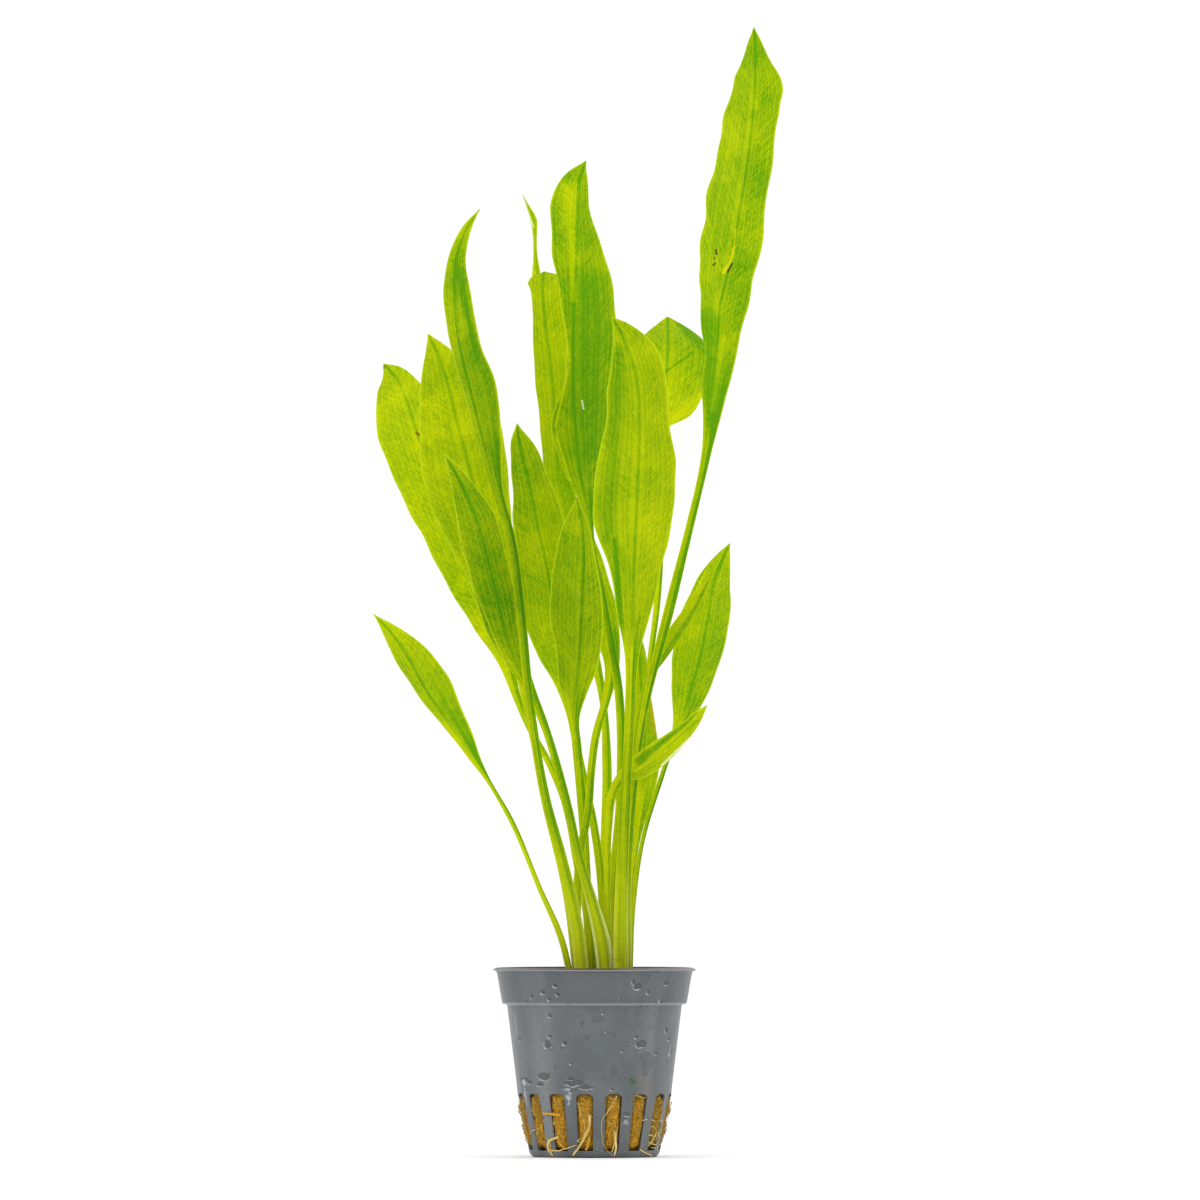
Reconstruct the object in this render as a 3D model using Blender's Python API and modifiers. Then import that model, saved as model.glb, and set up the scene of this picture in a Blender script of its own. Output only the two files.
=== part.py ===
"""A potted amazon sword plant: a slotted grey net pot, its rockwool plug, the crown, seventeen leaves and
the thick roots that come out of the pot's slots.

Metres, +Z up. The origin is the middle of the pot's flat base, and the plant's front faces -Y.
Blender 4.5: blender --background --python part.py
"""

import math

import bmesh
import bpy
import numpy as np
from mathutils import Vector

MM = 0.001
NAME = "potted_amazon_sword"

# Net pot
RIM_HEIGHT = 51.5 * MM
LIP_RADIUS = 27.7 * MM
BAND_TOP_RADIUS = 26.5 * MM
BAND_BOTTOM_RADIUS = 25.1 * MM
BAND_BOTTOM = 41.7 * MM
WALL_TOP_RADIUS = 23.8 * MM
SLOT_TOP_RADIUS = 20.9 * MM
BASE_RADIUS = 16.2 * MM
BASE_CORNER = 2.0 * MM
WALL = 0.9 * MM
FLOOR = 1.2 * MM
LIP_BLEND = (0.3 * MM, 0.5 * MM, 0.1 * MM, 0.9 * MM, 1.5 * MM)  # in, down, in, down and down to the band
STEP_DROP = 0.3 * MM
FOOT_FLARE = 1.7 * MM  # how much wider the wall starts than the flat base
FOOT_CORNER = (1.0 * MM, 0.5 * MM)
KNEE_RISE = 1.0 * MM  # how far above the slots the wall's slope changes
INNER_FOOT = (0.2 * MM, 2.9 * MM)
INNER_STEP = 0.6 * MM
INNER_RIM = (1.0 * MM, 0.6 * MM)
SLOTS = 16
SLOT_BOTTOM = 1.9 * MM
SLOT_TOP = 17.3 * MM
SLOT_SHARE = 0.56  # of the pitch between two ribs
SLOT_CUT_REACH = 2.5 * MM  # on both sides of the wall
SLOT_ROUNDING = 1.0 * MM
SLOT_ROUNDING_STEPS = 2
FRONT_RIB_TURN = math.radians(3.7)  # a rib stands this far to the right of the front
DRAIN_SLOTS = 8
DRAIN_INNER, DRAIN_OUTER, DRAIN_WIDTH = 6.5 * MM, 14.0 * MM, 2.2 * MM
DRAIN_CUT_HEIGHT, DRAIN_CUT_RISE = 3 * FLOOR, 0.3
POT_STEPS, PLUG_STEPS, CROWN_STEPS, WELL_STEPS = 48, 32, 24, 24

# Rockwool plug and crown
GAP = 0.3 * MM
PLUG_GAP = 0.45 * MM
PLUG_TOP = 48.0 * MM
WELL_X, WELL_Y, WELL_RADIUS, WELL_FLOOR = 2.0 * MM, -0.5 * MM, 11.6 * MM, 38.0 * MM
WELL_CUT_HEIGHT = 20.0 * MM
# The plug's top, shoulder and neck: in from the pot's inside, and up or down
PLUG_EDGE = ((1.2 * MM, 0.8 * MM), (0.9 * MM, 2.2 * MM), (0.6 * MM, 0.6 * MM))
PLUG_FOOT = (0.8 * MM, 3.4 * MM)
CROWN_TOP = 45.2 * MM
CROWN_EDGE = ((1.2 * MM, 0.2 * MM), (0.2 * MM, 1.4 * MM))  # in from the rim, down from the top
# Shares of the crown's rim, with the distance down from its top and up from its floor
CROWN_TAPER = ((0.8, 4.5 * MM), (0.45, 0.2 * MM))

# Leaves
RINGS = 20  # cross-sections of one leaf
PETIOLE_THICKNESS = 2.0 * MM
MIDRIB_TIP = 0.5 * MM
BLADE_THICKNESS = 0.36 * MM
CUP = 0.12  # how far a margin stands back, as a share of the blade's half-width
LEAST_HALF_WIDTH = 0.5 * MM
PETIOLE_WIDTH = 3.6 * MM  # a cross-section wider than this starts to flatten into the blade
BLADE_RAMP = 6.0 * MM
RIB_THINNING = 0.35
FLANK_SHARE = 0.8  # of the petiole's thickness, half-way to its side

ROOT_TAPER = 0.35
SHARP_ANGLE = math.radians(35)
MERGE = 0.01 * MM
TOUCH = 0.001 * MM

# Each leaf's turn about its midrib in degrees, then its stations from the crown to the tip, in
# millimetres: the midrib's x, y and z, then the half-widths to its left and right as seen from the front.
LEAVES = {
    "leaf_broad_front": (-10, [
        (7.2, -6.8, 45.6, 1.8, 1.8),
        (7.2, -7.5, 65.4, 1.8, 1.8),
        (8.5, -9.3, 99.7, 1.4, 1.4),
        (9.6, -11.1, 120.1, 1.4, 1.4),
        (10.2, -14.8, 137.8, 2.2, 2.2),
        (10.3, -17.3, 145.9, 3.8, 4.6),
        (10.6, -20.7, 158.2, 6.0, 7.6),
        (11.3, -26.6, 173.1, 11.2, 10.3),
        (11.9, -31.7, 186.7, 10.9, 10.6),
        (12.2, -35.7, 200.3, 8.7, 8.4),
        (11.5, -37.7, 211.2, 7.6, 8.2),
        (9.1, -38.0, 219.9, 4.4, 7.1),
        (6.4, -37.0, 225.6, 1.6, 2.7),
        (4.7, -36.0, 228.3, 0.0, 0.0),
    ]),
    "leaf_spoon": (14, [
        (-0.4, -2.2, 45.6, 1.2, 1.2),
        (-1.8, -1.8, 69.8, 1.1, 1.1),
        (-2.7, -1.4, 86.1, 1.2, 1.2),
        (-3.7, -3.0, 99.7, 1.3, 1.3),
        (-4.7, -6.1, 110.6, 1.3, 1.3),
        (-5.5, -9.4, 119.5, 1.5, 1.5),
        (-5.1, -11.8, 126.9, 4.6, 3.3),
        (-4.2, -14.6, 136.4, 6.8, 5.4),
        (-3.6, -17.5, 147.3, 9.2, 5.7),
        (-3.3, -19.5, 155.4, 9.0, 4.6),
        (-3.0, -22.2, 165.0, 7.6, 2.7),
        (-3.6, -24.7, 173.7, 4.4, 1.4),
        (-4.7, -26.0, 179.5, 0.0, 0.0),
    ]),
    "leaf_sickle": (28, [
        (-2.9, -6.8, 45.6, 1.7, 1.7),
        (-5.2, -7.3, 64.6, 1.6, 1.6),
        (-8.9, -8.2, 80.6, 1.6, 1.6),
        (-13.2, -9.2, 97.0, 1.3, 1.3),
        (-17.2, -11.6, 120.6, 1.2, 1.2),
        (-20.3, -17.2, 149.7, 1.3, 1.3),
        (-22.7, -19.9, 167.7, 1.3, 1.3),
        (-26.5, -20.2, 181.6, 1.5, 1.6),
        (-30.1, -19.8, 194.3, 1.9, 4.9),
        (-33.3, -18.7, 207.1, 2.2, 6.5),
        (-36.6, -16.0, 221.0, 2.7, 5.2),
        (-38.0, -12.0, 234.9, 3.3, 4.1),
        (-37.4, -8.0, 245.2, 2.2, 2.4),
        (-34.4, -6.0, 253.1, 1.2, 1.2),
        (-31.2, -4.0, 257.7, 0.0, 0.0),
    ]),
    "leaf_left_dark": (-16, [
        (3.1, -6.0, 45.6, 1.4, 1.4),
        (2.1, -6.6, 57.8, 1.8, 1.9),
        (0.2, -7.0, 66.2, 1.6, 1.6),
        (-4.0, -7.6, 80.6, 1.2, 1.2),
        (-7.4, -7.8, 95.3, 1.3, 1.3),
        (-13.5, -7.6, 117.1, 1.1, 1.1),
        (-18.1, -8.5, 128.5, 1.6, 1.6),
        (-23.6, -10.4, 140.5, 4.1, 4.1),
        (-26.3, -12.5, 151.4, 5.4, 5.2),
        (-29.0, -15.3, 162.2, 5.7, 5.4),
        (-32.0, -19.1, 173.1, 5.2, 5.2),
        (-35.0, -22.7, 180.2, 3.5, 3.5),
        (-38.0, -25.3, 186.2, 1.9, 1.9),
        (-41.0, -27.8, 191.2, 0.0, 0.0),
    ]),
    "leaf_low_left": (24, [
        (-5.9, -4.6, 45.6, 0.9, 0.9),
        (-8.9, -6.5, 58.9, 0.9, 0.9),
        (-14.9, -9.5, 73.0, 0.7, 0.7),
        (-22.7, -13.0, 91.5, 0.7, 0.7),
        (-29.8, -16.0, 103.8, 0.8, 0.8),
        (-32.8, -17.2, 108.1, 1.1, 1.9),
        (-35.5, -18.5, 112.2, 1.4, 3.3),
        (-40.4, -20.8, 119.3, 2.2, 4.9),
        (-46.1, -23.8, 127.7, 3.3, 6.3),
        (-50.9, -27.5, 136.4, 3.8, 4.9),
        (-55.4, -30.9, 142.7, 2.2, 2.2),
        (-60.0, -33.6, 147.5, 0.0, 0.0),
    ]),
    "leaf_small_arching": (16, [
        (3.9, -2.6, 45.6, 0.9, 0.9),
        (3.5, -3.4, 75.2, 1.0, 1.0),
        (3.8, -4.6, 90.2, 1.1, 1.1),
        (5.0, -5.8, 98.9, 1.3, 1.3),
        (7.2, -6.2, 103.0, 1.5, 1.5),
        (10.7, -6.4, 105.5, 2.7, 3.3),
        (15.6, -7.3, 108.5, 3.5, 3.5),
        (20.8, -8.9, 112.3, 3.0, 2.9),
        (25.4, -10.7, 116.3, 2.2, 1.9),
        (28.7, -12.3, 120.4, 1.4, 1.1),
        (30.6, -13.1, 122.8, 0.0, 0.0),
    ]),
    "leaf_centre_left": (-14, [
        (2.3, 2.4, 45.6, 1.0, 1.0),
        (2.0, 1.2, 72.5, 1.1, 1.1),
        (-0.4, 0.8, 91.3, 1.1, 1.1),
        (-3.2, -0.5, 103.8, 1.1, 1.1),
        (-5.1, -2.9, 113.3, 1.1, 1.1),
        (-6.4, -5.0, 120.9, 1.4, 1.4),
        (-7.5, -6.3, 127.4, 2.7, 2.4),
        (-8.9, -7.9, 136.4, 5.7, 4.9),
        (-10.5, -9.3, 145.9, 8.2, 6.8),
        (-12.4, -11.0, 157.4, 7.6, 7.6),
        (-14.3, -12.6, 166.3, 6.8, 7.6),
        (-15.9, -13.8, 173.7, 6.0, 7.6),
        (-17.6, -15.4, 182.4, 4.6, 6.0),
        (-19.5, -16.6, 190.0, 3.3, 4.9),
        (-20.6, -17.0, 194.9, 2.2, 3.0),
        (-21.1, -17.3, 199.4, 0.0, 0.0),
    ]),
    "leaf_left_pointed": (-12, [
        (-4.1, -2.4, 45.6, 1.1, 1.1),
        (-7.2, -3.6, 69.8, 1.1, 1.1),
        (-12.4, -4.6, 94.2, 1.1, 1.1),
        (-17.3, -5.5, 117.4, 1.1, 1.1),
        (-21.1, -6.3, 135.0, 1.6, 1.6),
        (-24.9, -6.3, 151.1, 6.0, 4.9),
        (-28.7, -4.8, 166.9, 9.5, 6.8),
        (-32.8, -3.5, 182.6, 12.5, 10.1),
        (-37.2, -1.9, 199.0, 10.3, 11.7),
        (-40.7, 0.0, 212.8, 6.5, 8.7),
        (-43.1, 2.0, 219.4, 3.3, 3.3),
        (-45.3, 3.0, 223.8, 0.0, 0.0),
    ]),
    "leaf_far_left": (-22, [
        (-2.3, 1.4, 45.6, 0.9, 0.9),
        (-2.3, 1.2, 65.7, 0.9, 0.9),
        (-4.8, 0.5, 79.3, 0.9, 0.9),
        (-8.3, -1.2, 97.0, 0.9, 0.9),
        (-12.1, -1.9, 106.5, 0.9, 0.9),
        (-18.4, -1.9, 118.2, 0.9, 0.9),
        (-21.1, -1.7, 125.0, 1.1, 1.1),
        (-23.8, -0.6, 133.7, 2.0, 2.0),
        (-28.5, 2.0, 145.4, 4.4, 4.1),
        (-33.9, 5.9, 157.6, 6.0, 5.4),
        (-39.3, 11.5, 171.8, 7.6, 6.8),
        (-44.8, 18.1, 186.7, 9.2, 8.4),
        (-48.9, 23.0, 198.7, 9.5, 8.7),
        (-52.1, 27.6, 207.9, 7.1, 6.8),
        (-54.8, 29.8, 212.8, 3.8, 3.3),
        (-57.3, 30.9, 215.6, 0.0, 0.0),
    ]),
    "leaf_tall_right": (28, [
        (8.5, -2.2, 45.6, 1.4, 1.4),
        (9.4, -2.2, 86.1, 1.1, 1.1),
        (13.3, -4.3, 120.1, 1.0, 1.0),
        (20.5, -9.6, 149.7, 1.4, 1.4),
        (25.7, -14.7, 170.4, 1.1, 1.1),
        (29.8, -18.3, 188.1, 1.2, 1.2),
        (32.5, -21.8, 210.7, 3.5, 4.4),
        (33.7, -24.0, 230.2, 6.3, 7.1),
        (37.1, -26.0, 249.3, 9.2, 7.6),
        (40.6, -28.0, 268.9, 9.2, 6.8),
        (43.2, -30.0, 286.0, 8.4, 6.5),
        (43.9, -31.0, 295.5, 5.4, 5.4),
        (43.5, -32.0, 307.2, 0.0, 0.0),
    ]),
    "leaf_tall_middle": (-20, [
        (5.3, 0.2, 45.6, 1.2, 1.2),
        (4.9, 0.5, 69.8, 1.2, 1.2),
        (7.0, 0.0, 99.7, 1.1, 1.1),
        (6.8, 0.0, 124.2, 1.2, 1.2),
        (2.7, 1.4, 149.7, 1.0, 1.0),
        (-1.3, 3.3, 173.4, 1.2, 1.2),
        (-4.0, 5.4, 186.7, 3.5, 4.9),
        (-5.1, 5.7, 196.8, 5.7, 8.2),
        (-5.9, 6.0, 214.7, 1.6, 12.5),
        (-5.6, 4.0, 233.0, 3.3, 12.2),
        (-4.9, 2.0, 246.6, 5.7, 7.6),
        (-4.6, 0.0, 258.8, 6.3, 3.5),
        (-4.0, -1.0, 265.6, 4.4, 2.2),
        (-2.3, -2.0, 271.0, 0.0, 0.0),
    ]),
    "leaf_low_right": (-26, [
        (9.6, 0.8, 45.6, 0.7, 0.7),
        (10.7, 1.0, 70.3, 0.7, 0.7),
        (13.0, 1.5, 85.5, 0.6, 0.6),
        (17.8, 3.0, 101.9, 0.7, 0.7),
        (20.8, 3.8, 110.6, 0.8, 0.8),
        (22.7, 4.4, 116.0, 1.6, 1.9),
        (24.6, 5.1, 121.4, 3.3, 3.5),
        (26.5, 6.0, 128.2, 4.9, 5.2),
        (28.7, 7.3, 135.6, 6.3, 6.3),
        (30.8, 9.4, 146.7, 6.0, 6.5),
        (33.0, 11.8, 157.9, 3.5, 4.9),
        (35.2, 13.3, 163.3, 1.9, 1.9),
        (36.8, 14.3, 166.8, 0.0, 0.0),
    ]),
    "leaf_narrow_right": (30, [
        (6.4, 4.3, 45.6, 0.9, 0.9),
        (7.5, 3.6, 80.6, 0.8, 0.8),
        (9.6, 2.6, 102.4, 0.8, 0.8),
        (12.6, 0.7, 122.8, 0.8, 0.8),
        (15.6, -1.2, 132.1, 1.2, 1.2),
        (18.6, -1.8, 137.2, 1.8, 1.8),
        (21.9, -1.9, 142.4, 2.0, 2.0),
        (25.4, -0.7, 147.6, 1.8, 1.8),
        (28.9, 1.4, 153.5, 1.1, 1.1),
        (31.7, 3.7, 158.4, 0.0, 0.0),
    ]),
    "leaf_back_middle": (12, [
        (-4.8, 1.5, 45.6, 1.1, 1.1),
        (-4.8, -0.5, 61.6, 1.1, 1.1),
        (-4.0, -3.6, 82.0, 1.1, 1.1),
        (-1.7, -5.5, 94.2, 1.1, 1.1),
        (-1.0, -5.2, 103.8, 1.1, 1.1),
        (0.4, -3.1, 114.6, 1.1, 1.1),
        (3.1, 1.1, 124.2, 1.2, 1.2),
        (4.6, 4.2, 133.7, 1.9, 2.2),
        (2.8, 6.6, 144.6, 3.8, 3.8),
        (-1.3, 10.2, 156.8, 4.9, 4.9),
        (-6.1, 13.0, 170.4, 4.6, 4.6),
        (-9.4, 15.0, 182.6, 4.1, 3.5),
        (-10.5, 17.2, 197.6, 4.4, 4.9),
        (-11.6, 18.9, 212.6, 4.9, 5.4),
        (-13.2, 20.0, 226.2, 3.8, 4.9),
        (-14.0, 21.0, 235.7, 3.3, 4.1),
        (-13.9, 22.4, 239.4, 3.9, 3.9),
        (-13.8, 22.8, 240.3, 2.6, 2.9),
        (-13.7, 23.2, 240.7, 0.0, 0.0),
    ]),
    "leaf_bent_back": (0, [
        (8.0, 6.8, 45.6, 1.0, 1.0),
        (9.4, 7.4, 77.9, 1.0, 1.0),
        (12.3, 8.9, 113.3, 0.9, 0.9),
        (15.3, 11.5, 136.4, 0.8, 0.8),
        (17.0, 13.5, 149.7, 0.9, 0.9),
        (17.8, 16.0, 167.7, 1.0, 1.0),
        (17.0, 19.0, 186.7, 1.1, 1.1),
        (17.0, 20.6, 195.0, 1.8, 1.6),
        (17.4, 21.6, 199.4, 4.0, 3.4),
        (18.0, 22.3, 202.5, 6.5, 7.2),
        (19.0, 23.2, 207.2, 8.6, 9.7),
        (19.8, 24.8, 215.0, 10.0, 11.4),
        (20.0, 28.0, 221.6, 9.2, 11.4),
        (20.0, 31.0, 224.6, 6.9, 9.0),
        (20.0, 33.5, 226.6, 3.2, 5.0),
        (20.0, 35.0, 228.3, 0.0, 0.0),
    ]),
    "leaf_short_yellowing": (-18, [
        (9.4, 3.9, 45.6, 0.8, 0.8),
        (10.2, 4.1, 76.6, 0.8, 0.8),
        (11.5, 4.6, 85.5, 0.8, 0.8),
        (12.2, 5.0, 91.0, 1.5, 1.5),
        (12.9, 5.6, 97.8, 2.4, 3.0),
        (13.4, 6.3, 106.5, 3.5, 4.4),
        (13.3, 6.9, 116.0, 3.3, 3.7),
        (12.8, 7.7, 126.9, 2.7, 2.3),
        (12.3, 8.6, 137.2, 1.9, 1.6),
        (11.5, 9.5, 145.4, 0.0, 0.0),
    ]),
    "leaf_twisted_tip": (22, [
        (3.5, 5.6, 45.6, 1.0, 1.0),
        (2.6, 4.5, 77.9, 1.1, 1.1),
        (3.4, 6.1, 106.5, 1.3, 1.3),
        (2.3, 8.8, 124.2, 1.0, 1.0),
        (-0.4, 12.3, 137.8, 1.6, 1.6),
        (-4.5, 18.3, 156.8, 3.0, 3.0),
        (-8.3, 25.9, 178.6, 3.3, 2.7),
        (-10.2, 30.9, 200.3, 3.8, 3.8),
        (-12.7, 34.0, 222.1, 3.5, 3.5),
        (-14.6, 36.0, 238.4, 1.9, 1.9),
        (-16.2, 38.0, 247.7, 0.5, 0.5),
        (-16.3, 39.0, 252.0, 0.7, 0.7),
        (-16.6, 40.0, 254.7, 1.0, 1.0),
        (-18.1, 41.0, 258.3, 0.4, 0.5),
        (-19.5, 42.0, 261.5, 0.0, 0.0),
    ]),
}

# The thick roots, from the rockwool out through a slot: angle to the right of the front in degrees,
# distance outside the wall's middle in millimetres, height in millimetres. Then the radius.
ROOTS = {
    "root_orange_left": (
        0.5,
        [(-28.5, 0.0, 11.6), (-33.0, 0.5, 11.8), (-38.0, 1.4, 12.0), (-43.5, 1.5, 12.1)],
    ),
    "root_left_over_ring": (
        0.45,
        [(-32.0, 0.0, 5.6), (-33.8, 0.7, 5.4), (-38.5, 1.6, 4.6), (-41.0, 1.7, 2.8), (-37.0, 1.4, 0.6)],
    ),
    "root_front_left": (
        0.45,
        [(-4.0, 0.0, 11.7), (-4.4, 0.1, 8.7), (-8.0, 0.5, 5.8), (-12.5, 1.4, 3.1), (-18.5, 1.4, 0.6)],
    ),
    "root_front_right": (
        0.4,
        [(16.5, 0.0, 7.4), (17.8, 0.5, 5.0), (18.0, 1.3, 2.6), (16.5, 1.3, 0.6)],
    ),
}

COLOURS = {
    "pot": ((0.16, 0.17, 0.175), 0.38),
    "rockwool": ((0.42, 0.25, 0.02), 0.95),
    "crown": ((0.25, 0.27, 0.03), 0.6),
    "leaf": ((0.28, 0.50, 0.01), 0.4),
    "root": ((0.72, 0.58, 0.20), 0.55),
}


def clear_scene():
    """Remove what the scene starts with."""
    for old in list(bpy.data.objects):
        bpy.data.objects.remove(old, do_unlink=True)


def collection(name):
    """A new collection under the scene's own."""
    made = bpy.data.collections.new(name)
    bpy.context.scene.collection.children.link(made)
    return made


def material(name, kind):
    """A Principled material of its own for one piece."""
    colour, roughness = COLOURS[kind]
    made = bpy.data.materials.new(name)
    made.use_nodes = True
    shader = made.node_tree.nodes["Principled BSDF"]
    shader.inputs["Base Color"].default_value = (*colour, 1.0)
    shader.inputs["Roughness"].default_value = roughness
    shader.inputs["Metallic"].default_value = 0.0
    return made


def add_object(name, mesh, kind, place):
    """Put a mesh in a collection as a smooth-shaded object with its own material."""
    made = bpy.data.objects.new(name, mesh)
    place.objects.link(made)
    mesh.materials.append(material(name, kind))
    mesh.shade_smooth()
    mesh.set_sharp_from_angle(angle=SHARP_ANGLE)
    return made


def as_cutter(made):
    """Keep an object out of sight: it only shapes others."""
    made.hide_render = True
    made.display_type = "WIRE"


def subtract(body, cutter):
    """Cut one object by another with an exact Boolean."""
    cut = body.modifiers.new(cutter.name, "BOOLEAN")
    cut.operation = "DIFFERENCE"
    cut.solver = "EXACT"
    cut.object = cutter


def turned(name, profile, steps, kind, place):
    """A turned piece: a profile of (radius, height) points that runs down its outer side."""
    mesh = bpy.data.meshes.new(name)
    points = [(r, 0.0, z) for r, z in profile]
    mesh.from_pydata(points, [(i, i + 1) for i in range(len(points) - 1)], [])
    made = add_object(name, mesh, kind, place)
    screw = made.modifiers.new("turn", "SCREW")
    screw.steps = screw.render_steps = steps
    screw.use_merge_vertices = True
    screw.merge_threshold = MERGE
    return made


def wall_radius(z):
    """Outer radius of the pot's tapered wall at a height."""
    if z >= SLOT_TOP:
        t = (z - SLOT_TOP) / (BAND_BOTTOM - SLOT_TOP)
        return SLOT_TOP_RADIUS + t * (WALL_TOP_RADIUS - SLOT_TOP_RADIUS)
    t = (z - BASE_CORNER) / (SLOT_TOP - BASE_CORNER)
    foot = BASE_RADIUS + FOOT_FLARE
    return foot + (SLOT_TOP_RADIUS - foot) * max(t, 0.0)


def pot_outside():
    """The outer profile from the lip down to the middle of the base."""
    top_in, top_down, edge_in, edge_down, band_down = LIP_BLEND
    lip = [(LIP_RADIUS - top_in, RIM_HEIGHT), (LIP_RADIUS, RIM_HEIGHT - top_down)]
    lip += [(LIP_RADIUS - edge_in, RIM_HEIGHT - edge_down), (BAND_TOP_RADIUS, RIM_HEIGHT - band_down)]
    band = [(BAND_BOTTOM_RADIUS, BAND_BOTTOM), (WALL_TOP_RADIUS, BAND_BOTTOM - STEP_DROP)]
    wall = [(wall_radius(z), z) for z in (SLOT_TOP + KNEE_RISE, BASE_CORNER)]
    base = [(BASE_RADIUS + FOOT_CORNER[0], FOOT_CORNER[1]), (BASE_RADIUS, 0.0), (0.0, 0.0)]
    return lip + band + wall + base


def pot_inside():
    """The inner profile from the middle of the floor up to the rim."""
    floor = [(0.0, FLOOR), (BASE_RADIUS - INNER_FOOT[0], FLOOR)]
    wall = [(wall_radius(z) - WALL, z) for z in (INNER_FOOT[1], SLOT_TOP + KNEE_RISE)]
    step = [(WALL_TOP_RADIUS - WALL, BAND_BOTTOM), (BAND_BOTTOM_RADIUS - WALL, BAND_BOTTOM + INNER_STEP)]
    rim = [(BAND_TOP_RADIUS - WALL, RIM_HEIGHT - INNER_RIM[0])]
    rim += [(BAND_TOP_RADIUS - INNER_RIM[1], RIM_HEIGHT)]
    return floor + wall + step + rim


def slot_cutters(place):
    """Sixteen tapered blocks between the ribs, joined in one cutter."""
    bm = bmesh.new()
    pitch = 2 * math.pi / SLOTS
    height = SLOT_TOP - SLOT_BOTTOM
    for i in range(SLOTS):
        turn = FRONT_RIB_TURN + (i + 0.5) * pitch
        made = bmesh.ops.create_cube(bm, size=1.0)["verts"]
        for v in made:
            z = SLOT_BOTTOM + (v.co.z + 0.5) * height
            radius = wall_radius(z) + (SLOT_CUT_REACH if v.co.y < 0 else -SLOT_CUT_REACH)
            x = v.co.x * SLOT_SHARE * pitch * wall_radius(z)
            v.co = Vector((x, -radius, z))
        tops = [
            e
            for v in made
            for e in v.link_edges
            if all(abs(w.co.z - SLOT_TOP) < TOUCH for w in e.verts)
            and abs(e.verts[0].co.x - e.verts[1].co.x) < MERGE
        ]
        bevelled = bmesh.ops.bevel(
            bm,
            geom=list(set(tops)),
            offset=SLOT_ROUNDING,
            offset_type="OFFSET",
            segments=SLOT_ROUNDING_STEPS,
            profile=0.5,
            affect="EDGES",
            material=-1,
        )
        around = {v for v in made if v.is_valid} | set(bevelled["verts"])
        for v in around:
            c, s = math.cos(turn), math.sin(turn)
            v.co = Vector((v.co.x * c - v.co.y * s, v.co.x * s + v.co.y * c, v.co.z))
    bmesh.ops.recalc_face_normals(bm, faces=bm.faces)
    mesh = bpy.data.meshes.new("slot_cutters")
    bm.to_mesh(mesh)
    bm.free()
    made = bpy.data.objects.new("slot_cutters", mesh)
    place.objects.link(made)
    as_cutter(made)
    return made


def drain_cutters(place):
    """Radial slots through the pot's floor, clear of its solid middle."""
    bm = bmesh.new()
    for i in range(DRAIN_SLOTS):
        turn = 2 * math.pi * i / DRAIN_SLOTS
        for v in bmesh.ops.create_cube(bm, size=1.0)["verts"]:
            x = v.co.x * DRAIN_WIDTH
            y = DRAIN_INNER + (v.co.y + 0.5) * (DRAIN_OUTER - DRAIN_INNER)
            c, s = math.cos(turn), math.sin(turn)
            v.co = Vector((x * c - y * s, x * s + y * c, (v.co.z + DRAIN_CUT_RISE) * DRAIN_CUT_HEIGHT))
    mesh = bpy.data.meshes.new("drain_cutters")
    bm.to_mesh(mesh)
    bm.free()
    made = bpy.data.objects.new("drain_cutters", mesh)
    place.objects.link(made)
    as_cutter(made)
    return made


def build_pot(parts, cutters):
    """The turned net pot with its side slots and drain slots."""
    pot = turned("net_pot", pot_inside() + pot_outside(), POT_STEPS, "pot", parts)
    subtract(pot, slot_cutters(cutters))
    subtract(pot, drain_cutters(cutters))


def build_plug(parts, cutters):
    """The rockwool plug, which fills the pot's inside, with a well for the crown."""
    side = [(wall_radius(z) - WALL - PLUG_GAP, z) for z in (SLOT_TOP, PLUG_FOOT[1])]
    (top_in, top_down), (shoulder_in, shoulder_up), (neck_in, neck_down) = PLUG_EDGE
    top = [(0.0, PLUG_TOP), (BAND_BOTTOM_RADIUS - WALL - top_in, PLUG_TOP - top_down)]
    shoulder = [(BAND_BOTTOM_RADIUS - WALL - shoulder_in, BAND_BOTTOM + shoulder_up)]
    neck = [(WALL_TOP_RADIUS - WALL - neck_in, BAND_BOTTOM - neck_down)]
    foot = [(BASE_RADIUS - PLUG_FOOT[0], FLOOR + GAP), (0.0, FLOOR + GAP)]
    plug = turned("rockwool_plug", top + shoulder + neck + side + foot, PLUG_STEPS, "rockwool", parts)
    bm = bmesh.new()
    bmesh.ops.create_cone(
        bm,
        cap_ends=True,
        segments=WELL_STEPS,
        radius1=WELL_RADIUS,
        radius2=WELL_RADIUS,
        depth=WELL_CUT_HEIGHT,
    )
    bmesh.ops.translate(bm, verts=bm.verts, vec=(WELL_X, WELL_Y, WELL_FLOOR + WELL_CUT_HEIGHT / 2))
    mesh = bpy.data.meshes.new("well_cutter")
    bm.to_mesh(mesh)
    bm.free()
    well = bpy.data.objects.new("well_cutter", mesh)
    cutters.objects.link(well)
    as_cutter(well)
    subtract(plug, well)


def build_crown(parts):
    """The squat crown that carries the leaves, sitting in the plug's well."""
    rim = WELL_RADIUS - GAP
    floor = WELL_FLOOR + GAP
    (waist, waist_down), (heel, heel_up) = CROWN_TAPER
    profile = [(0.0, CROWN_TOP)] + [(rim - inward, CROWN_TOP - down) for inward, down in CROWN_EDGE]
    profile += [(rim * waist, CROWN_TOP - waist_down), (rim * heel, floor + heel_up), (0.0, floor)]
    crown = turned("crown", profile, CROWN_STEPS, "crown", parts)
    crown.location = (WELL_X, WELL_Y, 0.0)


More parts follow.
